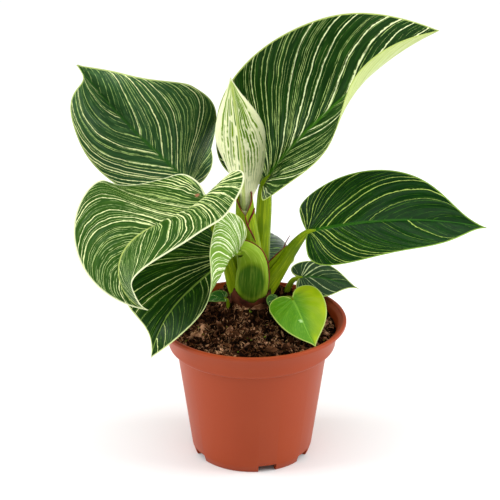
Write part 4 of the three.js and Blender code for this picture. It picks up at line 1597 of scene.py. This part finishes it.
    def add_fibres(self, draft: Draft, random: np.random.Generator) -> None:
        """Adds fine roots and coir: short tubes along bent lines that hug the top.

        A line's direction turns evenly from end to end. Its height over the top is a parabola
        with a slope on it, and its radius falls off with the cube of the way to either end.

        Args:
            draft: the piece to add them to.
            random: the source of chance.
        """
        count, (steps, sides) = self.fibres, self.fibre_grid
        x, y = self.scatter(random, count)
        heading = random.random(count) * 2 * np.pi
        bend = random.normal(0, 0.9, count)
        length = 1.6 + 8 * random.random(count) ** 2.4
        t = np.linspace(-0.5, 0.5, steps)[None, :]
        turn = heading[:, None] + bend[:, None] * t
        px = x[:, None] + length[:, None] * t * np.cos(turn)
        py = y[:, None] + length[:, None] * t * np.sin(turn)
        reach = np.maximum(1, np.hypot(px, py) / (self.rim - 1.0))
        px, py = px / reach, py / reach
        tilt = random.normal(0, 0.35, (count, 1)) * length[:, None] * t
        arch = 0.5 + random.random((count, 1)) * 1.4 * (1 - (2 * t) ** 2) + tilt
        line = np.stack([px, py, self.rough_height(px, py) + arch], axis=-1)
        along = unit(np.gradient(line, axis=1))
        across = unit(np.cross(along, np.array([0, 0, 1.0])))
        radius = (0.07 + 0.28 * random.random((count, 1)) ** 3) * (1 - 0.9 * np.abs(2 * t) ** 3)
        points = rings(line, across, np.cross(across, along), radius, sides)
        last = steps * sides - np.arange(sides, 0, -1)
        faces = np.concatenate([grid_faces(steps, sides), [np.arange(sides)[::-1], last]])
        tone = np.repeat(random.random((count, 1)) ** 1.6, steps * sides, axis=1)
        draft.copies(points.reshape(count, -1, 3), faces, 1, tone=tone)

    def build(self) -> None:
        """Makes the body, and the loose bits on it as pieces of their own."""
        self.body().build("soil_dressed", (SOIL_SKIN,), (self.node,))
        random = np.random.default_rng(self.seed)
        crumbs, clods, litter = Draft(), Draft(), Draft()
        self.add_lumps(crumbs, random, self.crumbs)
        crumbs.build("soil_crumbs", (SOIL_SKIN,), (), crease=24.0)
        self.add_lumps(clods, random, self.clods)
        self.add_lumps(clods, random, self.chips)
        for x, y, size in self.chunks:
            self.add_chunk(clods, random, x, y, size)
        clods.build("soil_clods", (SOIL_SKIN,), (), crease=28.0)
        self.add_lumps(litter, random, self.flecks)
        self.add_fibres(litter, random)
        litter.build("soil_litter", (MOSS, FIBRE), ())


# ---------------------------------------------------------------- stem and dried sheath


@dataclass(frozen=True)
class Crown:
    """The short stem, and the torn brown sheath round its foot."""

    axis: tuple[float, float] = (0.0, 21.0)
    stem: Stations = ((62, 6.0), (82, 8.5), (96, 9.0), (104, 7.5), (113, 4.5))
    collar: Stations = ((-1, 17.5, 90, 12.6, 10.6), (-1, 16.4, 97, 12.7, 11.6),
                        (-1, 15.9, 104, 12.3, 11.3), (-1, 15.8, 111, 12, 10.8))

    def build_stem(self) -> bpy.types.Object:
        """Makes the stem, a stalk through heights and radii on the crown's axis.

        Returns:
            The stem as one piece.
        """
        draft = Draft()
        Stalk(tuple((*self.axis, z, radius, radius) for z, radius in self.stem)).add(draft, 0)
        return draft.build("stem_dressed", (STEM_SKIN,), ("stem",))

    def build_sheath(self) -> bpy.types.Object:
        """Makes the dried sheath, its top higher at both sides and torn by noise.

        Returns:
            The sheath as one piece.
        """
        draft = Draft()
        angle = np.arange(120)[None, :] * 3.0
        turn = np.radians(angle)
        ragged = rough_noise(np.stack([2 * np.cos(turn), 2 * np.sin(turn), 0 * turn], axis=-1), 5, 4)
        side = np.abs(np.cos(turn)) ** 1.6
        top = 0.44 + 0.07 * ragged + side * np.where(np.cos(turn) < 0, 0.46, 0.28)
        around = Stalk(self.collar, ridges=0.03)
        draft.sheet(around.collar(top, angle, 26, 0.1, (0.4, -0.3)), wrap=True)
        return draft.build("dried_sheath_dressed", (DRY,), ("dried_sheath",))


# ---------------------------------------------------------------- the plant


def leaves() -> tuple[Leaf, ...]:
    """Every leaf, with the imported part's own sizes."""
    return (
        Leaf("leaf_top",
             Midrib(148, (7, 29, 171), (58, 44, 41, 22), (6, 7, 4, 7), (-35, -60, -55, -45)),
             Half(59, 11.5, 0.3, 0.63, 0.04, (-10, -18, -5, -7), (35, 50, 40, -30)),
             Half(39, 4, 0.32, 0.65, 0.1, (40, 45, 65, 85), (-5, 20, 50, 50)),
             ((4, 21, 104, 6, 5), (5.5, 25, 119, 5.6, 4.2), (6.5, 27.5, 134, 5.1, 4),
              (7.4, 28.6, 152, 5, 3.6)), Skin.TOP, join=(4.4, 2.2), extras=(Sheath(),),
             rib_width=2.5, veins=(Veins(6, 10, 0.35), Veins(8, 35, 0.7))),
        Leaf("leaf_upper_left",
             Midrib(106, (-37.6, 34, 169), (41, 40, 46), (177, 156, 147), (25, 60, 40)),
             Half(34, 4, 0.6, 0.95, 0.22, (-30, -18, 32, 80), (-60, 3, 14, -60)),
             Half(48.5, 7.5, 0.4, 0.2, 0.05, (-26, 18, 44, 10), (60, 10, -35, 20)),
             ((-6, 24, 100, 6, 5), (-12, 27, 116, 4.6, 4), (-20, 31, 135, 3.2, 2.8),
              (-31, 33.5, 156, 2.6, 2.4)), Skin.UPPER_LEFT, rib_width=2.4, sink=0.5,
             veins=(Veins(8, 25, 0.6), Veins(7, 48, 0.9))),
        Leaf("leaf_front_left",
             Midrib(117, (-28, -13, 179), (-30, -3, -81, -156), (218, 223, 185, 198), (20, 10, 5, 25)),
             Half(40, 21, 0.38, 0.3, 0.07, (72, 56, -12, -4), (-90, -76, 7, -30)),
             Half(48, 6, 0.35, 0.6, 0.27, (-5, 10, 50, 45), (-30, -5, -5, -10)),
             ((-7, 16, 98, 6.5, 5), (-11, 14, 110, 5.5, 4.4), (-16, 9.5, 130, 4, 3.4),
              (-24.5, -2, 160, 2.8, 2.4)), Skin.FRONT_LEFT, rib_width=1.3,
             veins=(Veins(3, 25, 0.7), Veins(4, 40, 0.7))),
        Leaf("leaf_lower_left",
             Midrib(94, (-9, 5, 137), (-25, -26, -75), (219, 224, 227), (10, 15, 15)),
             Half(42, 7, 0.32, 0.3, 0.04, (50, 3, 17, -4), (110, 134, 28, 55)),
             Half(42, 11, 0.41, 0.86, 0.33, (25, 15, -5), (-10, -10, 15)),
             ((-1, 16, 96, 8, 5), (-0.5, 11, 104, 10, 5.5), (0, 9.5, 114, 10.5, 5.5), (0, 9, 124, 9.5, 5),
              (-2, 8, 131, 8, 5), (-6, 6.4, 135.5, 5.5, 4.2)), Skin.LOWER_LEFT, DEEP_STALK, (3.5, 2.6),
             veins=(Veins(4, 60, 1.0), Veins(12, 10, 0.0)), rib_width=0.9,
             hollow=(-0.3, 113.3, 9.9, 14, 1.7),
             extras=(Bead(((0.1, 8, 0.0), (0.3, 0, 0.2), (0.5, 2, 0.3), (0.64, 20, 0.3), (0.74, 50, 0.2))),)),
        Leaf("leaf_right",
             Midrib(115, (34.9, 22, 141), (13, 2, -10), (3, 0, -8), (-30, -35, -40)),
             Half(34, 2, 0.33, 0.63, 0.24, (0, 5, 20), (-10, 40, -10)),
             Half(33, 3, 0.37, 0.69, 0.13, (0, 15, 15), (-10, 10, 15)),
             ((6, 20, 99, 7, 5), (13.5, 21.5, 109, 5.6, 4.4), (20, 22, 119, 4.4, 4),
              (27, 22, 131, 3.8, 3.4)), Skin.RIGHT, rib_width=1.8,
             veins=(Veins(8, 48, 1.0), Veins(4, 55, 1.0)), extras=(
                  Wing(((0.16, 180, 0.2), (0.25, 180, 3.0), (0.33, 180, 3.7), (0.42, 180, 3.0),
                        (0.5, 180, 1.6), (0.57, 180, 0.1))),
                  Bead(((0.49, 180, 0.2), (0.58, 176, 1.9), (0.66, 172, 3.2)), 0.36))),
        Leaf("leaf_small_right",
             Midrib(40, (31, 40.5, 101.5), (7, -16, -14), (2, 2, -14), (-15, -30, -5)),
             Half(13, 5, 0.3, 0.5, 0.2, (15, 5, 5), (5, -15, 5)),
             Half(18, 3, 0.33, 0.45, 0.2, (0, 10, 5), (-10, 5, 15)),
             ((20, 37, 80, 2.2, 2.2), (23, 38.5, 93, 2, 2), (27, 40, 99.5, 1.7, 1.7)), Skin.SMALL_RIGHT,
             rows=90, columns=22, rib_width=1.2, ripple=0.1, keel=0.9),
        Leaf("leaf_back",
             Midrib(88, (2, 44, 115), (18, -12, -55), (90, 95, 100), (-8, -10, 0)),
             Half(36, 10, 0.3, 0.6, 0.2, (-5, -5, -5), (-35, -35, -20)),
             Half(31, 4, 0.36, 0.6, 0.2, (0, -5, -5), (-25, -35, -20)),
             ((1, 27, 97, 5, 4), (2, 33, 103, 3.6, 3.2), (2, 38.5, 109.5, 2.8, 2.6)), Skin.BACK),
        Leaf("leaf_heart",
             Midrib(42, (25, 0, 105), (-16, -30, -23), (-67, -69, -60), (-5, 0, 0)),
             Half(19, 7, 0.15, 0.58, 0.14, (10, 0, 5), (-5, 5, 0)),
             Half(17, 5, 0.13, 0.74, 0.16, (-10, 0, 5), (-10, -15, -5)),
             ((18, 13, 78, 1.6, 1.6), (19, 11, 93, 1.5, 1.5), (22, 5.5, 102, 1.3, 1.3)), Skin.HEART,
             rows=100, columns=26, rib_width=0.8, ripple=0.15, keel=0.7),
        Leaf("sprout_front",
             Midrib(11, (16.5, 6.5, 102), (10, -25, -45), (-130, -125, -120), (10, 10, 10)),
             Half(5, 1.5, 0.35, 0.6, 0.2, (10, 5, 5), (0, 10, 0)),
             Half(5, 1.5, 0.35, 0.6, 0.2, (10, 5, 5), (0, 10, 0)),
             ((14, 9, 84, 1.2, 1.2), (15, 9, 94, 1.1, 1.1), (16, 7.5, 100, 1, 1)), Skin.SPROUT,
             rows=40, columns=12, rib_width=0.5, ripple=0.05, keel=0.4),
        Leaf("sprout_left",
             Midrib(13, (-17, 9, 101), (20, -10, -40), (185, 190, 195), (25, 20, 15)),
             Half(5, 1.5, 0.35, 0.6, 0.2, (15, 5, 5), (0, 10, 0)),
             Half(5, 1.5, 0.35, 0.6, 0.2, (15, 5, 5), (0, 10, 0)),
             ((-14, 10, 84, 1.3, 1.3), (-15, 10, 94, 1.2, 1.2), (-16, 9.5, 99, 1, 1)), Skin.SPROUT,
             rows=40, columns=12, rib_width=0.5, ripple=0.05, keel=0.4),
        Leaf("leaf_new",
             Midrib(97, (-5, 21, 151), (91, 81, 79), (-134, -129, -136), (-40, -40, -40)),
             Half(24, 0, 0.49, 0.2, 0.14, (15, 5, 40), (125, 80, 70), neck=3),
             Half(19, 0, 0.48, 0.41, 0.11, (40, 15, 20), (120, 45, 65), neck=3),
             ((-1.5, 19.5, 118, 2.2, 2.2), (-3, 20, 132, 2.6, 2.6), (-4.6, 21, 146, 3, 2.6),
              (-4.8, 21.4, 155, 2.6, 2.2)), Skin.NEW, PALE_STALK,
             veins=(Veins(1.3, 40, 0.3), Veins(1.3, 40, 0.3)),
             rib_width=0.9, ripple=0.12, keel=0.4),
    )


# ---------------------------------------------------------------- studio


@dataclass(frozen=True)
class Lamp:
    """A square soft box that faces the plant. Its place and size are metres, its power watts."""

    name: str
    place: Place
    size: float
    power: float
    target: Place = (0.0, 0.0, 0.13)

    def build(self) -> None:
        """Adds the lamp."""
        data = bpy.data.lights.new(self.name, "AREA")
        data.size = self.size
        data.energy = self.power
        lamp = put_in_scene(self.name, data)
        lamp.location = self.place
        aim = np.array(self.target) - np.array(self.place)
        flat = math.hypot(aim[0], aim[1])
        lamp.rotation_euler = (math.atan2(flat, -aim[2]), 0, math.atan2(-aim[0], aim[1]))


@dataclass(frozen=True)
class Studio:
    """A pale floor, soft light from both sides and above, and a long lens."""

    pitch: float = 22.8
    focus: Place = (0.0, 0.0, 91.0)
    distance: float = 1270.0
    aim: tuple[float, float] = (0.001, -0.03375)
    lens: float = 144.0
    sensor: float = 36.0
    sight: float = 20.0
    floor_reach: float = 6.0
    paper: tuple[Colour, Colour] = ((0.9, 0.9, 0.9), (0.88, 0.88, 0.88))
    lamps: tuple[Lamp, ...] = (Lamp("left_box", (-1.3, -0.1, 0.7), 0.8, 15),
                               Lamp("right_box", (1.3, -0.1, 0.7), 0.8, 15),
                               Lamp("top_box", (0.0, -0.3, 2.6), 4.0, 62))
    sky: float = 0.5

    def camera(self) -> None:
        """Places the camera behind its aim, looking along +Y and down by the pitch."""
        tilt = math.radians(self.pitch)
        ahead = np.array([0, math.cos(tilt), -math.sin(tilt)])
        above = np.array([0, math.sin(tilt), math.cos(tilt)])
        line = ahead + self.aim[0] * np.array([1, 0, 0]) + self.aim[1] * above
        data = bpy.data.cameras.new("camera")
        data.lens = self.lens
        data.sensor_width = self.sensor
        data.clip_end = self.sight
        camera = put_in_scene("camera", data)
        camera.location = (np.array(self.focus) - self.distance * line) * MM
        camera.rotation_euler = (math.radians(90 - self.pitch), 0, 0)
        bpy.context.scene.camera = camera

    def floor(self) -> None:
        """Adds the floor, a large plain sheet that is no part of the object."""
        nodes = NodeSheet("floor_paper")
        nodes.dress(Base_Color=nodes.mix(nodes.noise(nodes.place(), 3.0), *self.paper), Roughness=0.75)
        mesh = bpy.data.meshes.new("floor")
        far = self.floor_reach
        mesh.from_pydata([(-far, -far, 0), (far, -far, 0), (far, far, 0), (-far, far, 0)], [], [(0, 1, 2, 3)])
        mesh.materials.append(nodes.material)
        put_in_scene("floor", mesh)

    def build(self) -> None:
        """Sets up the whole studio."""
        self.camera()
        self.floor()
        for lamp in self.lamps:
            lamp.build()
        world = bpy.data.worlds.new("studio")
        world.use_nodes = True
        sky = world.node_tree.nodes["Background"].inputs
        sky["Color"].default_value = (1, 1, 1, 1)
        sky["Strength"].default_value = self.sky
        bpy.context.scene.world = world
        bpy.context.scene.view_settings.view_transform = "Standard"


def main() -> None:
    """Builds the plant, the soil, the pot and the studio, and keeps the sizes."""
    logging.basicConfig(level=logging.INFO, format="%(message)s")
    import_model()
    for leaf in leaves():
        leaf.build()
    crown = Crown()
    crown.build_stem()
    crown.build_sheath()
    Soil().build()
    Pot().build()
    Studio().build()


if __name__ == "__main__":
    main()
